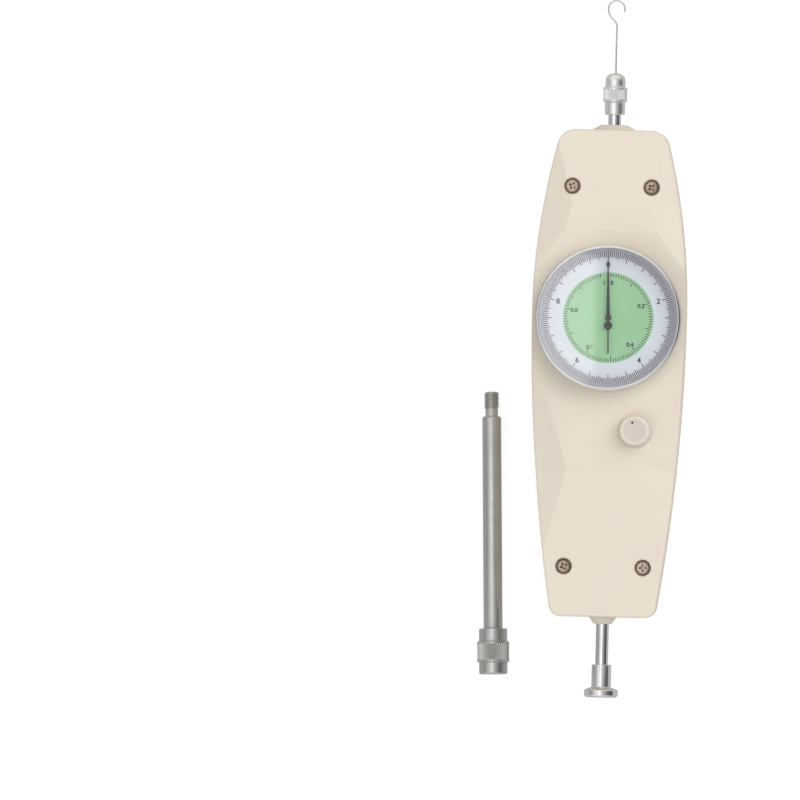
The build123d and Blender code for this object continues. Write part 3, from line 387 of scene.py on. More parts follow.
def metalMaterial(name, base, dull, roughness, scale, depth, stretch=(1, 1, 1), axis=None):
    # Bare metal: a drift between two tints, hairline scratches along stretch, and tool marks
    # where axis is set
    size = {"driftScale": 90, "smoother": 0.88, "rougher": 1.18, "pitch": 0.25}
    material, tree, shader = startMaterial(name, Metallic=1.0)
    tint = mixColour(tree, grain(tree, 0, 1, size["driftScale"]), sRgb(*base), sRgb(*dull))
    tree.links.new(tint, shader.inputs["Base Color"])
    scratch = grain(tree, roughness * size["smoother"], roughness * size["rougher"], scale * 2,
                    stretch)
    tree.links.new(scratch, shader.inputs["Roughness"])
    if axis == "around Z":
        height = turning(tree, reachFromZ(tree, objectPlace(tree)), size["pitch"] * mm)
    elif axis:
        apart = newNode(tree, "ShaderNodeSeparateXYZ", {"Vector": objectPlace(tree)})
        height = turning(tree, apart.outputs[axis], size["pitch"] * mm)
    else:
        height = grain(tree, 0, 1, scale, stretch)
    addBump(tree, shader, height, depth * mm)
    return material


# Colours as a picker shows them; peel, depth and rounded in millimetres

paints = {
    "casePaint": {"base": (232, 223, 205), "drift": (231, 219, 204), "roughness": 0.5,
                  "peel": 0.02, "rounded": 1.3},
    "ringSilver": {"base": (190, 190, 200), "drift": (180, 180, 192), "roughness": 0.38,
                   "peel": 0.01},
    "dialGreen": {"base": (150, 198, 152), "drift": (143, 192, 146), "roughness": 0.5,
                  "peel": 0.004},
    "printInk": {"base": (38, 42, 50), "drift": (52, 56, 64), "roughness": 0.5, "peel": 0.002},
    "pointerBlack": {"base": (12, 15, 15), "drift": (20, 24, 24), "roughness": 0.55,
                     "peel": 0.006},
    "dotEnamel": {"base": (92, 82, 80), "drift": (70, 62, 62), "roughness": 0.3, "peel": 0.004},
    "acetal": {"base": (226, 225, 220), "drift": (214, 213, 208), "roughness": 0.5, "peel": 0.01},
}
metals = {
    "screwZinc": {"base": (206, 189, 176), "dull": (172, 154, 139), "roughness": 0.33,
                  "scale": 900, "depth": 0.02},
    "innerSteel": {"base": (176, 176, 174), "dull": (150, 150, 150), "roughness": 0.32,
                   "scale": 700, "depth": 0.01},
    "chrome": {"base": (238, 239, 240), "dull": (226, 227, 229), "roughness": 0.14,
               "scale": 900, "depth": 0.002, "stretch": (9, 0.5, 9)},
    "turnedChrome": {"base": (242, 242, 243), "dull": (228, 228, 229), "roughness": 0.18,
                     "scale": 500, "depth": 0.01, "axis": "Y"},
    "holderSteel": {"base": (250, 250, 249), "dull": (240, 240, 240), "roughness": 0.34,
                    "scale": 500, "depth": 0.01, "axis": "Y"},
    "drawnWire": {"base": (226, 226, 226), "dull": (206, 206, 206), "roughness": 0.3,
                  "scale": 1500, "depth": 0.01, "stretch": (4, 0.6, 4)},
    "nickel": {"base": (204, 204, 202), "dull": (196, 196, 194), "roughness": 0.33,
               "scale": 500, "depth": 0.01, "axis": "Y"},
    "brass": {"base": (214, 184, 112), "dull": (190, 158, 92), "roughness": 0.3,
              "scale": 600, "depth": 0.01},
    "bezelSilver": {"base": (236, 235, 233), "dull": (222, 221, 220), "roughness": 0.18,
                    "scale": 500, "depth": 0.006, "axis": "around Z"},
}


def makeDialGround():
    # The printed ground: pale blue-white, with a lilac grey band under the outer divisions that
    # darkens towards the rim, partly for the dense ticks and partly as painted shade of the bezel's
    # inner wall
    size = {"pale": (212, 219, 225), "paleDrift": (208, 214, 222), "band": (203, 202, 212),
            "bandFrom": 22.2, "bandTo": 25.0, "driftScale": 90, "gloss": (0.46, 0.56, 400),
            "grainScale": 1200, "grainDepth": 0.004}
    material, tree, shader = startMaterial("dialGround")
    reach = reachFromZ(tree, objectPlace(tree))
    # Painted shade in part: the ground turns lilac grey from 22.2 mm out, where the bezel's inner
    # wall shades the dial
    band = mapRange(tree, reach, size["bandFrom"] * mm, size["bandTo"] * mm)
    pale = mixColour(tree, grain(tree, 0, 1, size["driftScale"]), sRgb(*size["pale"]),
                     sRgb(*size["paleDrift"]))
    tint = mixColour(tree, band, pale, sRgb(*size["band"]))
    tree.links.new(tint, shader.inputs["Base Color"])
    tree.links.new(grain(tree, *size["gloss"]), shader.inputs["Roughness"])
    addBump(tree, shader, grain(tree, 0, 1, size["grainScale"], detail=2), size["grainDepth"] * mm)
    return material


def makeKnobSatin():
    # Moulded knob: a pale lilac beige face inside a rim in the case's cream
    size = {"face": (216, 203, 195), "faceDrift": (211, 198, 191), "rim": (230, 220, 206),
            "rimDrift": (226, 216, 202), "rimFrom": 4.3, "rimTo": 4.9, "driftScale": 200,
            "gloss": (0.34, 0.44, 500), "grainScale": 1500, "grainDepth": 0.01}
    material, tree, shader = startMaterial("knobSatin")
    low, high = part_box("peak_knob")
    centred = newNode(tree, "ShaderNodeMapping",
                      {"Vector": objectPlace(tree), "Location": -(low + high) / 2})
    reach = reachFromZ(tree, centred.outputs["Vector"])
    rim = mapRange(tree, reach, size["rimFrom"] * mm, size["rimTo"] * mm)
    face, edging = (mixColour(tree, grain(tree, 0, 1, size["driftScale"]), sRgb(*size[tint]),
                              sRgb(*size[tint + "Drift"])) for tint in ("face", "rim"))
    tree.links.new(mixColour(tree, rim, face, edging), shader.inputs["Base Color"])
    tree.links.new(grain(tree, *size["gloss"]), shader.inputs["Roughness"])
    addBump(tree, shader, grain(tree, 0, 1, size["grainScale"], detail=2), size["grainDepth"] * mm)
    return material


def makeCrystalGlass():
    # Clear to the eye, and open to the light that falls on the dial through it
    material, tree, shader = startMaterial("crystalGlass", Metallic=0.0, IOR=1.49)
    shader.inputs["Transmission Weight"].default_value = 1.0
    shader.inputs["Base Color"].default_value = (1, 1, 1, 1)
    tree.links.new(grain(tree, 0.0, 0.02, 120), shader.inputs["Roughness"])
    path = newNode(tree, "ShaderNodeLightPath")
    lit = mathsNode(tree, "MAXIMUM", path.outputs["Is Shadow Ray"], path.outputs["Is Diffuse Ray"])
    clear = newNode(tree, "ShaderNodeBsdfTransparent")
    mix = newNode(tree, "ShaderNodeMixShader",
                  {0: lit, 1: shader.outputs["BSDF"], 2: clear.outputs["BSDF"]})
    tree.links.new(mix.outputs["Shader"], tree.nodes["Material Output"].inputs["Surface"])
    return material


finish = {name: paintMaterial(name, **look) for name, look in paints.items()}
finish.update((name, metalMaterial(name, **look)) for name, look in metals.items())
finish.update(dialGround=makeDialGround(), knobSatin=makeKnobSatin(),
              crystalGlass=makeCrystalGlass())
print("materials made")

nodeFinish = {
    "front_cover": "casePaint", "back_cover": "casePaint", "case_screws": "screwZinc",
    "upper_bush": "brass", "lower_bush": "brass", "spring_anchor": "innerSteel",
    "lower_plate": "brass", "upper_plate": "brass", "plate_spacers": "brass",
    "movement_screws": "innerSteel", "rack_guide": "acetal", "hairspring_stud": "brass",
    "lever_post": "innerSteel", "measuring_rod": "chrome", "rack": "brass",
    "rack_screws": "innerSteel", "spring_collar": "innerSteel", "collar_pin": "innerSteel",
    "measuring_spring": "drawnWire", "stop_collar": "innerSteel", "set_screw": "innerSteel",
    "hook_holder": "turnedChrome", "hook_wire": "drawnWire", "compression_head": "turnedChrome",
    "transfer_arbor": "innerSteel", "rack_pinion": "brass", "transfer_wheel": "brass",
    "ratchet_wheel": "innerSteel", "centre_arbor": "innerSteel", "centre_pinion": "innerSteel",
    "hairspring_collet": "brass", "hairspring": "drawnWire", "pointer": "pointerBlack",
    "bezel": "bezelSilver", "carrier_ring": "acetal", "dial_plate": "dialGround",
    "dial_ring": "ringSilver", "crystal": "crystalGlass", "peak_knob": "knobSatin",
    "knob_dot": "dotEnamel", "knob_shaft": "innerSteel", "knob_cam": "acetal",
    "cam_screw": "innerSteel", "knob_clip": "drawnWire", "hold_lever": "brass",
    "lever_spring": "drawnWire", "extension_rod": "nickel", "extension_collar": "nickel",
}


for nodeName, node in frame["nodes"].items():
    node.data.materials.clear()
    node.data.materials.append(finish[nodeFinish[nodeName]])
print("carried-over nodes dressed")

# The rod's ends

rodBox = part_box("measuring_rod")
rodHeight = (rodBox[0].z + rodBox[1].z) / 2
rodRadius = (rodBox[1].x - rodBox[0].x) / 2 / mm


def makeHookHolder():
    low, high = (corner.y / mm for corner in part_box("hook_holder"))
    size = {"foot": 4.05, "footEnd": 5.0, "lowerEdge": [(0.4, 0), (0.15, 0.3)],
            "upperEdge": [(0, -0.6), (0.25, -0.2)], "bore": 7.3,
            "knurl": 4.75, "knurlEnd": 10.9, "bevel": (0.5, 0.4), "rows": 5, "steps": 56,
            "depth": 0.4, "tip": 3.95, "tipFoot": [(0.15, 0.3), (0, 0.7)],
            "nose": [(0, -2.9), (0.12, -2.1), (0.5, -1.3), (1.2, -0.6), (2.2, -0.15)],
            "wireHole": [(0.9, 0), (0.6, -0.5), (0, -0.5)], "smooth": 20}
    bevel, bevelLength = size["bevel"]
    knurlLow, knurlHigh = size["footEnd"] + bevelLength, size["knurlEnd"] - bevelLength
    top = high - low
    profile = [(0, size["bore"]), (rodRadius, size["bore"]), (rodRadius, 0)]
    profile += edge(size["foot"], 0, size["lowerEdge"])
    profile += edge(size["foot"], size["footEnd"], size["upperEdge"])
    profile += [(size["knurl"] - bevel, size["footEnd"])]
    profile += knurlRows(size["knurl"], knurlLow, knurlHigh, size["rows"])
    profile += [(size["knurl"] - bevel, size["knurlEnd"])]
    profile += edge(size["tip"], size["knurlEnd"], size["tipFoot"])
    profile += edge(size["tip"], top, size["nose"])
    profile += [(radius, top + rise) for radius, rise in size["wireHole"]]
    piece = turned("hookHolder", profile, "Y", (0, low * mm, rodHeight), size["steps"])
    raiseKnurl(piece, low + knurlLow, low + knurlHigh, size["rows"], size["steps"], size["depth"],
               rodHeight)
    soften(piece, 0, degrees=size["smooth"])
    finishPiece(piece, "rod", "holderSteel", ["hook_holder"])


def bend(start, heading, end):
    # The arc that leaves start along heading and reaches end: its centre, its turn, and the
    # heading it ends with
    chord = end - start
    half = heading.angle_signed(chord)
    radius = chord.length / (2 * math.sin(abs(half)))
    side = Vector((heading.y, -heading.x)) if half > 0 else Vector((-heading.y, heading.x))
    turn = Matrix.Rotation(-2 * half, 2)
    return start + side * radius, 2 * half, turn @ heading


def makeHookWire():
    size = {"radius": 0.35, "sides": 12, "seat": 6.0, "shank": 18.3,
            "bends": [(-1.2, 2.43), (-3.45, 6.9), (2.75, 5.8)], "steps": (6, 7, 26),
            "endLength": 0.15, "endTaper": 0.6, "smooth": 50}
    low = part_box("hook_wire")[0].y
    bpy.ops.mesh.primitive_circle_add(vertices=size["sides"], radius=size["radius"] * mm,
                                      location=(0, low, rodHeight), rotation=(math.pi / 2, 0, 0))
    piece = settle(named("hookWire"))
    here = Vector((0, low + (size["seat"] + size["shank"]) * mm))
    neck = here.copy()
    heading = Vector((0, 1))
    bpy.ops.object.mode_set(mode="EDIT")
    bpy.ops.mesh.select_all(action="SELECT")
    bpy.ops.mesh.extrude_region_move(TRANSFORM_OT_translate={"value": (0, here.y - low, 0)})
    for point, steps in zip(size["bends"], size["steps"]):
        end = neck + Vector(point) * mm
        centre, angle, heading = bend(here, heading, end)
        bpy.ops.mesh.spin(steps=steps, angle=angle, center=(centre.x, centre.y, rodHeight),
                          axis=(0, 0, 1))
        here = end
    onwards = (heading * size["endLength"] * mm).to_3d()
    bpy.ops.mesh.extrude_region_move(TRANSFORM_OT_translate={"value": onwards})
    bpy.ops.transform.resize(value=[size["endTaper"]] * 3,
                             center_override=(here.x, here.y, rodHeight))
    bpy.ops.mesh.edge_face_add()
    faceOutwards()
    bpy.ops.object.mode_set(mode="OBJECT")
    soften(piece, 0, degrees=size["smooth"])
    finishPiece(piece, "rod", "drawnWire", ["hook_wire"])


def makeCompressionHead():
    low, high = (corner.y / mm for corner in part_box("compression_head"))
    size = {"socket": 3.85, "flange": 6.65, "socketLength": 8.8, "cone": 1.0, "bore": 8.3,
            "upperEdge": (0.25, 0.3), "lowerEdge": 0.8, "steps": 96, "rounding": 0.22}
    shoulder = high - size["socketLength"]
    flangeTop = shoulder - size["cone"]
    inset, drop = size["upperEdge"]
    profile = [(0, high - size["bore"]), (rodRadius, high - size["bore"]), (rodRadius, high),
               (size["socket"], high), (size["socket"], shoulder),
               (size["flange"] - inset, flangeTop), (size["flange"], flangeTop - drop),
               (size["flange"], low + size["lowerEdge"]),
               (size["flange"] - size["lowerEdge"], low), (0, low)]
    piece = turned("compressionHead", profile, "Y", (0, 0, rodHeight), size["steps"])
    soften(piece, size["rounding"], 3)
    finishPiece(piece, "rod", "turnedChrome", ["compression_head"])


def makeMeasuringSpring():
    # A round wire coil that runs from the rod's collar at one end to the case at the other
    low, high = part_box("measuring_spring")
    size = {"wire": 0.45, "turns": 4, "steps": 40, "sides": 10, "smooth": 60}
    coil = (high.x - low.x) / 2 - size["wire"] * mm
    length = high.y - low.y - 2 * size["wire"] * mm
    bpy.ops.mesh.primitive_circle_add(vertices=size["sides"], radius=size["wire"] * mm,
                                      fill_type="NGON", location=(coil, 0, 0))
    piece = settle(named("measuringCoil"))
    wind(piece, length / size["turns"], size["turns"], size["steps"])
    piece.location = (0, low.y + size["wire"] * mm, rodHeight)
    settle(piece)
    bpy.ops.object.mode_set(mode="EDIT")
    faceOutwards(merge=False)
    bpy.ops.object.mode_set(mode="OBJECT")
    soften(piece, 0, degrees=size["smooth"])
    finishPiece(piece, "", "innerSteel", ["measuring_spring"])
    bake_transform(piece)


makeHookHolder()
makeHookWire()
makeCompressionHead()
makeMeasuringSpring()
print("rod ends made")

# Case screws

def screwSeats():
    # Top of each screw's head, read from the frame: one screw in each quarter of the case
    vertices = [vertex.co for vertex in frame["nodes"]["case_screws"].data.vertices]
    middle = sum(vertex.y for vertex in vertices) / len(vertices)
    seats = []
    for right in (False, True):
        for upper in (False, True):
            mine = [v for v in vertices if (v.x > 0) == right and (v.y > middle) == upper]
            low = Vector([min(v[axis] for v in mine) for axis in range(3)])
            high = Vector([max(v[axis] for v in mine) for axis in range(3)])
            seats.append(Vector(((low.x + high.x) / 2, (low.y + high.y) / 2, high.z)))
    return seats


def makeCaseScrews():
    size = {"head": 2.7, "height": 2.0, "shank": 1.5, "length": 17.0, "point": (0.3, 0.4),
            "crown": [(0, -0.8), (0.06, -0.45), (0.25, -0.2), (0.6, -0.05), (1.1, 0)],
            "slot": (1.1, 3.9, 1.5), "slotTaper": 0.45, "turns": (25, 60, 5, 40), "steps": 40,
            "rounding": 0.06, "smooth": 40}
    inset, rise = size["point"]
    end = -size["height"] - size["length"]
    profile = [(0, end), (size["shank"] - inset, end),
               (size["shank"], rise - size["height"] - size["length"]),
               (size["shank"], -size["height"]), (size["head"], -size["height"])]
    profile += edge(size["head"], 0, size["crown"]) + [(0, 0)]
    screw = turned("caseScrew", profile, "Z", steps=size["steps"])
    wide, long, deep = (value * mm for value in size["slot"])
    for turn in (0, math.pi / 2):
        bpy.ops.mesh.primitive_cube_add(size=1, rotation=(0, 0, turn))
        cutter = bpy.context.object
        cutter.scale = (long, wide, deep * 2)
        settle(cutter)
        selectWhere(cutter, lambda place: place.z < 0)
        bpy.ops.transform.resize(value=(size["slotTaper"], size["slotTaper"], 1),
                                 center_override=(0, 0, 0))
        bpy.ops.object.mode_set(mode="OBJECT")
        pick(screw)
        bpy.ops.object.modifier_add(type="BOOLEAN")
        recess = screw.modifiers[-1]
        recess.object = cutter
        recess.operation = "DIFFERENCE"
        bpy.ops.object.modifier_apply(modifier=recess.name)
        bpy.data.objects.remove(cutter)
    screws = []
    for seat, turn in zip(screwSeats(), size["turns"]):
        pick(screw)
        bpy.ops.object.duplicate()
        copy = bpy.context.object
        copy.location = seat
        copy.rotation_euler = (0, 0, math.radians(turn))
        screws.append(settle(copy))
    bpy.data.objects.remove(screw)
    piece = joinAll(screws, "caseScrews")
    soften(piece, size["rounding"], 2, size["smooth"])
    finishPiece(piece, "case", "screwZinc", ["case_screws"])


makeCaseScrews()
print("case screws made")

# Knob

def makePeakKnob():
    low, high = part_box("peak_knob")
    height = (high.z - low.z) / mm
    radius = (high.x - low.x) / 2 / mm
    size = {"gap": 0.05, "footEdge": (0.3, 0.35), "edge": 0.95, "edgeAngles": (22, 45, 68, 90),
            "dish": 0.12, "dishEdge": 0.35, "steps": 96, "smooth": 24}
    top = radius - size["edge"]
    inset, rise = size["footEdge"]
    profile = [(0, size["gap"]), (radius - inset, size["gap"]), (radius, rise),
               (radius, height - size["edge"])]
    for angle in map(math.radians, size["edgeAngles"]):
        profile.append((top + size["edge"] * math.cos(angle),
                        height - size["edge"] * (1 - math.sin(angle))))
    profile += [(top - size["dishEdge"], height - size["dish"]), (0, height - size["dish"])]
    centre = (low + high) / 2
    piece = turned("peakKnob", profile, "Z", (centre.x, centre.y, low.z), size["steps"])
    soften(piece, 0, degrees=size["smooth"])
    finishPiece(piece, "knob", "knobSatin", ["peak_knob"])


makePeakKnob()
print("knob made")

# Bezel and crystal

def makeBezel():
    low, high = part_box("bezel")
    radius = (high.x - low.x) / 2 / mm
    height = (high.z - low.z) / mm
    size = {"wall": 0.85, "footEdge": [(0.1, 0), (0, 0.15)], "lip": 27.3, "lipThickness": 0.8,
            "roll": [(0, -1.5), (0.08, -1.0), (0.3, -0.55), (0.62, -0.22), (0.95, -0.05),
                     (1.15, 0)],
            "lipEdge": [(-0.1, -0.05), (0, -0.2)], "steps": 192, "smooth": 50}
    bore = radius - size["wall"]
    lipFoot = height - size["lipThickness"]
    profile = [(bore, 0)] + edge(radius, 0, size["footEdge"]) + edge(radius, height, size["roll"])
    profile += edge(size["lip"], height, size["lipEdge"])
    profile += [(size["lip"], lipFoot), (bore, lipFoot), (bore, 0)]
    piece = turned("bezelRing", profile, "Z", (0, 0, low.z), size["steps"])
    soften(piece, 0, degrees=size["smooth"])
    finishPiece(piece, "bezel", "bezelSilver", ["bezel"])


def makeCrystal():
    # A shallow dome, as thick as the flat crystal in the frame
    low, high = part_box("crystal")
    radius = (high.x - low.x) / 2 / mm
    thick = (high.z - low.z) / mm
    size = {"rise": 1.1, "domeRadius": 27.2, "rings": 8, "steps": 128, "smooth": 50}
    reaches = [size["domeRadius"] * ring / size["rings"] for ring in range(size["rings"] + 1)]
    dome = [(r, size["rise"] * (1 - (r / size["domeRadius"]) ** 2)) for r in reaches]
    profile = dome + [(radius, 0), (radius, thick)]
    profile += [(r, rise + thick) for r, rise in reversed(dome)]
    piece = turned("crystalDome", profile, "Z", (0, 0, low.z), size["steps"])
    soften(piece, 0, degrees=size["smooth"])
    finishPiece(piece, "bezel", "crystalGlass", ["crystal"])


makeBezel()
makeCrystal()
print("bezel and crystal made")

# Dial print, all in millimetres and degrees from the dial's zero

dial = {
    "zero": 1.2, "film": 0.02, "bold": 0.09, "green": 17.75, "greenHole": 1.3, "steps": 128,
    "outer": {"start": 25.9, "short": 2.3, "middle": 3.0, "long": 3.8, "line": 0.32,
              "count": 200, "turn": 1.8},
    "inner": {"start": 17.3, "short": 1.3, "middle": 1.6, "long": 2.4, "line": 0.33,
              "count": 100, "turn": 3.53},
    "outerNumbers": {"reach": 20.6, "size": 2.9, "every": 72, "nudge": 0,
                     "words": ("0", "2", "4", "6", "8")},
    "innerNumbers": {"reach": 13.6, "size": 2.3, "every": 70.6, "nudge": 6,
                     "words": ("0", "0.2", "0.4", "0.6", "0.8", "1")},
}
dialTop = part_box("dial_plate")[1].z


def spinCopies(steps, degrees):
    bpy.ops.mesh.spin(steps=steps, dupli=True, angle=math.radians(degrees), center=(0, 0, 0),
                      axis=(0, 0, 1))


def dialTicks(name, scale, length, inset, first, every, count):
    # One thin bar from the scale's start inwards, spun round as copies
    deselectAll()
    reach = scale["start"] - inset - length / 2
    bpy.ops.mesh.primitive_cube_add(size=1, location=(0, reach * mm,
                                                      dialTop + dial["film"] / 2 * mm))
    piece = named(name)
    piece.scale = (scale["line"] * mm, length * mm, dial["film"] * mm)
    settle(piece)
    bpy.ops.object.mode_set(mode="EDIT")
    bpy.ops.mesh.select_all(action="SELECT")
    if first:
        spinCopies(1, first)
        bpy.ops.mesh.select_all(action="INVERT")
        bpy.ops.mesh.delete(type="VERT")
        bpy.ops.mesh.select_all(action="SELECT")
    spinCopies(count - 1, every * (count - 1))
    bpy.ops.object.mode_set(mode="OBJECT")
    return piece


def dialNumber(name, word, size, reach, degrees):
    deselectAll()
    bpy.ops.object.text_add()
    piece = bpy.context.object
    piece.data.body = word
    piece.data.size = size * mm
    piece.data.align_x = "CENTER"
    piece.data.align_y = "CENTER"
    piece.data.extrude = dial["film"] / 2 * mm
    piece.data.offset = dial["bold"] * mm
    bpy.ops.object.convert(target="MESH")
    angle = math.radians(degrees)
    piece = named(name)
    piece.location = (reach * math.sin(angle) * mm, reach * math.cos(angle) * mm,
                      dialTop + dial["film"] * 1.5 * mm)
    return settle(piece)


def makeDialPrint():
    # Short ticks all round, with every fifth lengthened a little and every tenth most
    marks = []
    for name in ("outer", "inner"):
        scale = dial[name]
        short, turn, tenth = scale["short"], scale["turn"], scale["turn"] * 10
        marks.append(dialTicks(name + "Short", scale, short, 0, 0, turn, scale["count"]))
        for kind, first in (("middle", turn * 5), ("long", 0)):
            marks.append(dialTicks(name + kind.title(), scale, scale[kind] - short, short, first,
                                   tenth, scale["count"] // 10))
        numbers = dial[name + "Numbers"]
        for count, word in enumerate(numbers["words"]):
            angle = numbers["every"] * count + (numbers["nudge"] if count == 0 else 0)
            marks.append(dialNumber(name + "Number", word, numbers["size"], numbers["reach"],
                                    angle))
    ink = joinAll(marks, "dialPrint")
    inner, outer, film = dial["greenHole"], dial["green"], dial["film"]
    profile = [(inner, 0), (outer, 0), (outer, film), (inner, film), (inner, 0)]
    ring = turned("dialGreenDisc", profile, "Z", (0, 0, dialTop), dial["steps"])
    for piece, lift in ((ink, film * mm), (ring, 0)):
        piece.location.z = lift
        piece.rotation_euler.z = math.radians(dial["zero"])
        settle(piece)
    finishPiece(ink, "bezel", "printInk")
    finishPiece(ring, "bezel", "dialGreen")


makeDialPrint()
print("dial print made")

# Loose extension rod, modelled along Y with the collar's foot at the origin

mounts = {mount["name"]: mount for mount in frame["record"]["mounts"]}
socket, thread = mounts["extension_socket"], mounts["extension_thread"]
extension = {"length": 110.8, "radius": 3.7, "floor": 9.0, "edge": 0.6, "steps": 64,
             "rounding": 0.1, "neckRadius": 2.45, "neckLength": 3.3, "endEdge": 0.4,
             "threadRadius": 3.0, "threadLength": 6.3, "pitch": 0.9, "crestDrop": 0.06,
             "crestFrom": 0.56, "crestTo": 0.44, "threadStart": -0.05, "threadEnd": -0.3,
             "threadSteps": 40, "weld": 0.001, "smooth": 25}
collar = {"foot": 5.55, "footLength": 4.5, "footEdge": [(0.6, 0), (0.15, 0.2), (0, 0.6)],
          "footTop": 0.3, "bore": 2.5, "boreEdge": 0.3, "knurl": 6.3, "knurlLength": 8.6,
          "bevel": (0.75, 0.5), "rows": 7, "steps": 76, "depth": 0.42, "smooth": 20,
          "head": 5.5, "headLength": 4.8, "headEdge": [(0, -0.3), (0.3, 0)], "headFoot": 0.25}


def layExtension(piece):
    # Turns a piece from Y to the way the rod lies, and settles it there
    along = Vector(thread["axis"]).normalized()
    start = Vector(socket["pos_m"]) - along * extension["floor"] / 2 * mm
    across = along.cross(Vector((0, 0, 1))).normalized()
    turn = Matrix((across, along, across.cross(along))).transposed()
    piece.matrix_world = Matrix.Translation(start) @ turn.to_4x4()
    return settle(piece)


def makeThread():
    # One pitch of the ridge, wound by a Screw modifier and cut flat at both ends
    size = extension
    pitch, root, crest = size["pitch"], size["neckRadius"], size["threadRadius"] - size["crestDrop"]
    low = size["length"] - size["threadLength"]
    ridge = ((root, low - pitch), (crest, low - pitch * size["crestFrom"]),
             (crest, low - pitch * size["crestTo"]), (root, low))
    piece = drawLine("extensionThread", [Vector((r, along, 0)) * mm for r, along in ridge])
    bpy.ops.object.mode_set(mode="OBJECT")
    turns = math.ceil(size["threadLength"] / pitch) + 2
    wind(piece, pitch * mm, turns, size["threadSteps"], size["weld"] * mm)
    bpy.ops.object.mode_set(mode="EDIT")
    for height, keepAbove in ((low + size["threadStart"], True),
                              (size["length"] + size["threadEnd"], False)):
        bpy.ops.mesh.select_all(action="SELECT")
        bpy.ops.mesh.bisect(plane_co=(0, height * mm, 0), plane_no=(0, 1, 0), use_fill=True,
                            clear_inner=keepAbove, clear_outer=not keepAbove)
    faceOutwards(merge=False)
    bpy.ops.object.mode_set(mode="OBJECT")
    return piece


def makeExtensionRod():
    size = extension
    neck = size["length"] - size["threadLength"] - size["neckLength"]
    profile = [(0, size["floor"]), (size["radius"], size["floor"]),
               (size["radius"], neck - size["edge"]), (size["radius"] - size["edge"], neck),
               (size["neckRadius"], neck), (size["neckRadius"], size["length"] - size["endEdge"]),
               (size["neckRadius"] - size["endEdge"], size["length"]), (0, size["length"])]
    rod = turned("extensionBar", profile, "Y", steps=size["steps"])
    soften(rod, size["rounding"], 2)
    piece = joinAll([rod, soften(makeThread(), 0, degrees=size["smooth"])], "extensionBar")
    finishPiece(layExtension(piece), "extension", "nickel", ["extension_rod"])


def makeExtensionCollar():
    size = collar
    bevel, bevelLength = size["bevel"]
    knurlEnd = size["footLength"] + size["knurlLength"]
    low, high = size["footLength"] + bevelLength, knurlEnd - bevelLength
    top = knurlEnd + size["headLength"]
    profile = [(0, extension["floor"]), (size["bore"], extension["floor"])]
    profile += [(size["bore"], size["boreEdge"]), (size["bore"] + size["boreEdge"], 0)]
    profile += edge(size["foot"], 0, size["footEdge"])
    profile += [(size["foot"], size["footLength"] - size["footTop"]),
                (size["knurl"] - bevel, size["footLength"])]
    profile += knurlRows(size["knurl"], low, high, size["rows"])
    profile += [(size["knurl"] - bevel, knurlEnd), (size["head"], knurlEnd + size["headFoot"])]
    profile += edge(size["head"], top, size["headEdge"]) + [(0, top)]
    piece = turned("extensionCollar", profile, "Y", steps=size["steps"])
    raiseKnurl(piece, low, high, size["rows"], size["steps"], size["depth"])
    soften(piece, 0, degrees=size["smooth"])
    finishPiece(layExtension(piece), "extension", "nickel", ["extension_collar"])


makeExtensionRod()
makeExtensionCollar()
print("extension rod made")

# Camera, light and floor

view = {"lens": 1200, "sensor": 36, "clipEnd": 100, "pixel": 0.391 * mm, "image": 800,
        "dialPixel": (608.2, 317.7), "roll": 1.38, "tilt": 2.0}


def makeCamera():
    # The dial's centre falls on its pixel, and the camera stands a little to the dial's right
    distance = view["pixel"] * view["image"] * view["lens"] / view["sensor"]
    tilt = Matrix.Rotation(math.radians(view["tilt"]), 3, "Y")
    turn = tilt @ Matrix.Rotation(math.radians(view["roll"]), 3, "Z")
    right = (view["image"] / 2 - view["dialPixel"][0]) * view["pixel"]
    up = (view["dialPixel"][1] - view["image"] / 2) * view["pixel"]
    place = Vector((0, 0, dialTop)) + turn @ Vector((right, up, distance))
    bpy.ops.object.camera_add(location=place, rotation=turn.to_euler())
    camera = bpy.context.object
    camera.data.lens = view["lens"]
    camera.data.sensor_width = view["sensor"]
    camera.data.clip_end = view["clipEnd"]
    bpy.context.scene.camera = camera


def seenDirectly(tree, glossy):
    # 1 for what the camera sees itself or through glass, and the glossy share in what metal
    # mirrors
    path = newNode(tree, "ShaderNodeLightPath").outputs
    direct = mathsNode(tree, "MAXIMUM", path["Is Camera Ray"], path["Is Transmission Ray"])
    reflected = mathsNode(tree, "MULTIPLY", path["Is Glossy Ray"], glossy)
    return mathsNode(tree, "MAXIMUM", direct, reflected)


floorLook = {"size": 6, "gap": 0.2, "roughness": 0.9, "paint": 0.3, "paintForBounces": 0.75,
             "glow": 0.82, "mirroredShare": 0.3}


def makeFloor():
    # White to the eye by its own glow, with just enough white paint to hold a soft shadow
    bpy.ops.mesh.primitive_plane_add(size=floorLook["size"],
                                     location=(0, 0, -floorLook["gap"] * mm))
    floor = named("floor")
    material, tree, shader = startMaterial("floorWhite", Roughness=floorLook["roughness"])
    shader.inputs["Specular IOR Level"].default_value = 0.0
    path = newNode(tree, "ShaderNodeLightPath")
    seen, bounced = ([floorLook[paint]] * 3 + [1] for paint in ("paint", "paintForBounces"))
    paint = mixColour(tree, path.outputs["Is Diffuse Ray"], seen, bounced)
    tree.links.new(paint, shader.inputs["Base Color"])
    shader.inputs["Emission Color"].default_value = (1, 1, 1, 1)
    glow = mathsNode(tree, "MULTIPLY", seenDirectly(tree, floorLook["mirroredShare"]),
                     floorLook["glow"])
    tree.links.new(glow, shader.inputs["Emission Strength"])
    floor.data.materials.append(material)


lamps = {
    "key": {"place": (1.3, 0.85, 2.2), "size": 2.4, "power": 38},
    "fill": {"place": (-1.2, -0.9, 2.2), "size": 2.6, "power": 16},
}


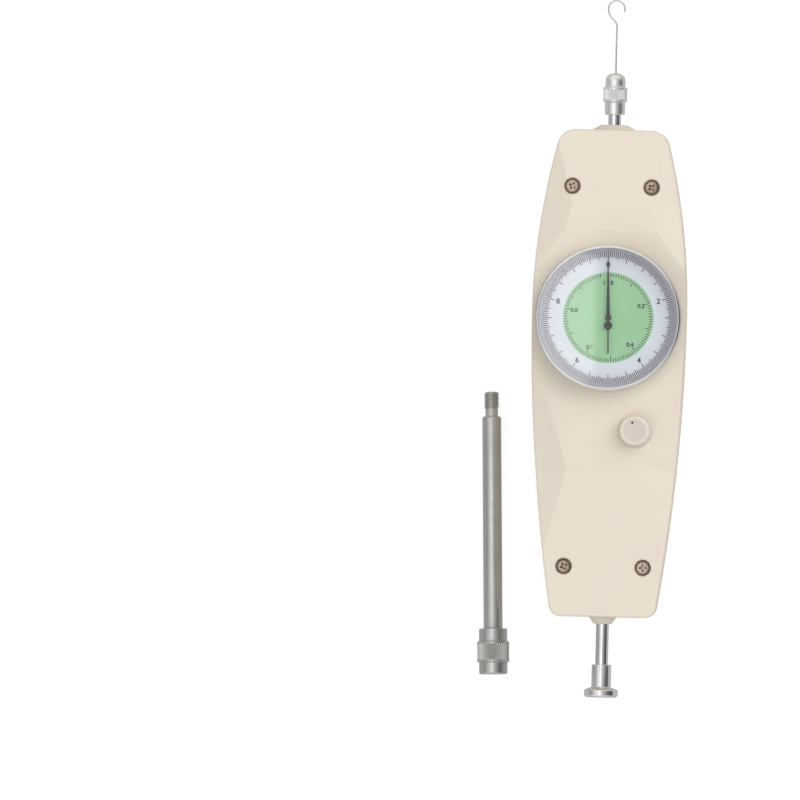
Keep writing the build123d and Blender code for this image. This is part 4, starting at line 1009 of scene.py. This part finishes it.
def makeLights():
    for name, lamp in lamps.items():
        place = Vector(lamp["place"])
        turn = place.to_track_quat("Z", "Y").to_euler()
        bpy.ops.object.light_add(type="AREA", location=place, rotation=turn)
        light = bpy.context.object
        light.name = name
        light.data.size = lamp["size"]
        light.data.energy = lamp["power"]
        light.visible_glossy = False
        light.visible_camera = False


# What metal mirrors: brightness from the left wall over the ceiling to the right wall, the far and
# near ends, and a soft panel overhead. Places are parts of a direction's X, Y and Z
studio = {
    "walls": [(0.0, 0.42), (0.05, 0.34), (0.14, 0.72), (0.27, 0.95), (0.42, 0.78), (0.58, 0.66),
              (0.73, 0.42), (0.87, 0.16), (1.0, 0.07)],
    "ends": {"colour": (0.9, 0.88, 0.84, 1), "from": 0.2, "to": 0.8, "share": 0.9},
    "panel": {"colour": (2.4, 2.4, 2.35, 1), "right": (-0.045, -0.07), "left": (-0.26, -0.2),
              "top": (0.94, 0.97)},
    "fill": 0.52,  # strength of the even light that falls on the gauge
}


def makeWalls(tree, across):
    walls = newNode(tree, "ShaderNodeValToRGB", {"Fac": mapRange(tree, across, -1, 1)})
    ramp = walls.color_ramp
    for place, level in studio["walls"][1:-1]:
        ramp.elements.new(place)
    for element, (place, level) in zip(ramp.elements, studio["walls"]):
        element.position = place
        element.color = (level, level, level, 1)
    return walls.outputs["Color"]


def makePanel(tree, way):
    panel = studio["panel"]
    right, left = (mapRange(tree, way["X"], *panel[side], interpolation_type="SMOOTHSTEP")
                   for side in ("right", "left"))
    top = mapRange(tree, way["Z"], *panel["top"])
    return mathsNode(tree, "MULTIPLY", mathsNode(tree, "MULTIPLY", right, left), top)


def makeWorld():
    # White where it is seen, an even light on the gauge, and the studio in what metal mirrors
    world = bpy.data.worlds.new("studio")
    bpy.context.scene.world = world
    world.use_nodes = True
    tree = world.node_tree
    background = tree.nodes["Background"]
    path = newNode(tree, "ShaderNodeLightPath")
    direction = newNode(tree, "ShaderNodeTexCoord").outputs["Generated"]
    way = newNode(tree, "ShaderNodeSeparateXYZ", {"Vector": direction}).outputs
    ends, panel = studio["ends"], studio["panel"]
    endShare = mapRange(tree, mathsNode(tree, "ABSOLUTE", way["Y"]), ends["from"], ends["to"],
                        0, ends["share"])
    mirrored = mixColour(tree, endShare, makeWalls(tree, way["X"]), ends["colour"])
    mirrored = mixColour(tree, makePanel(tree, way), mirrored, panel["colour"])
    colour = mixColour(tree, path.outputs["Is Glossy Ray"], (1, 1, 1, 1), mirrored)
    tree.links.new(colour, background.inputs["Color"])
    strength = mapRange(tree, seenDirectly(tree, 1.0), 0, 1, studio["fill"], 1.0)
    tree.links.new(strength, background.inputs["Strength"])


makeCamera()
makeFloor()
makeLights()
makeWorld()
bpy.context.scene.view_settings.view_transform = "Standard"
print("camera, floor and lights made")
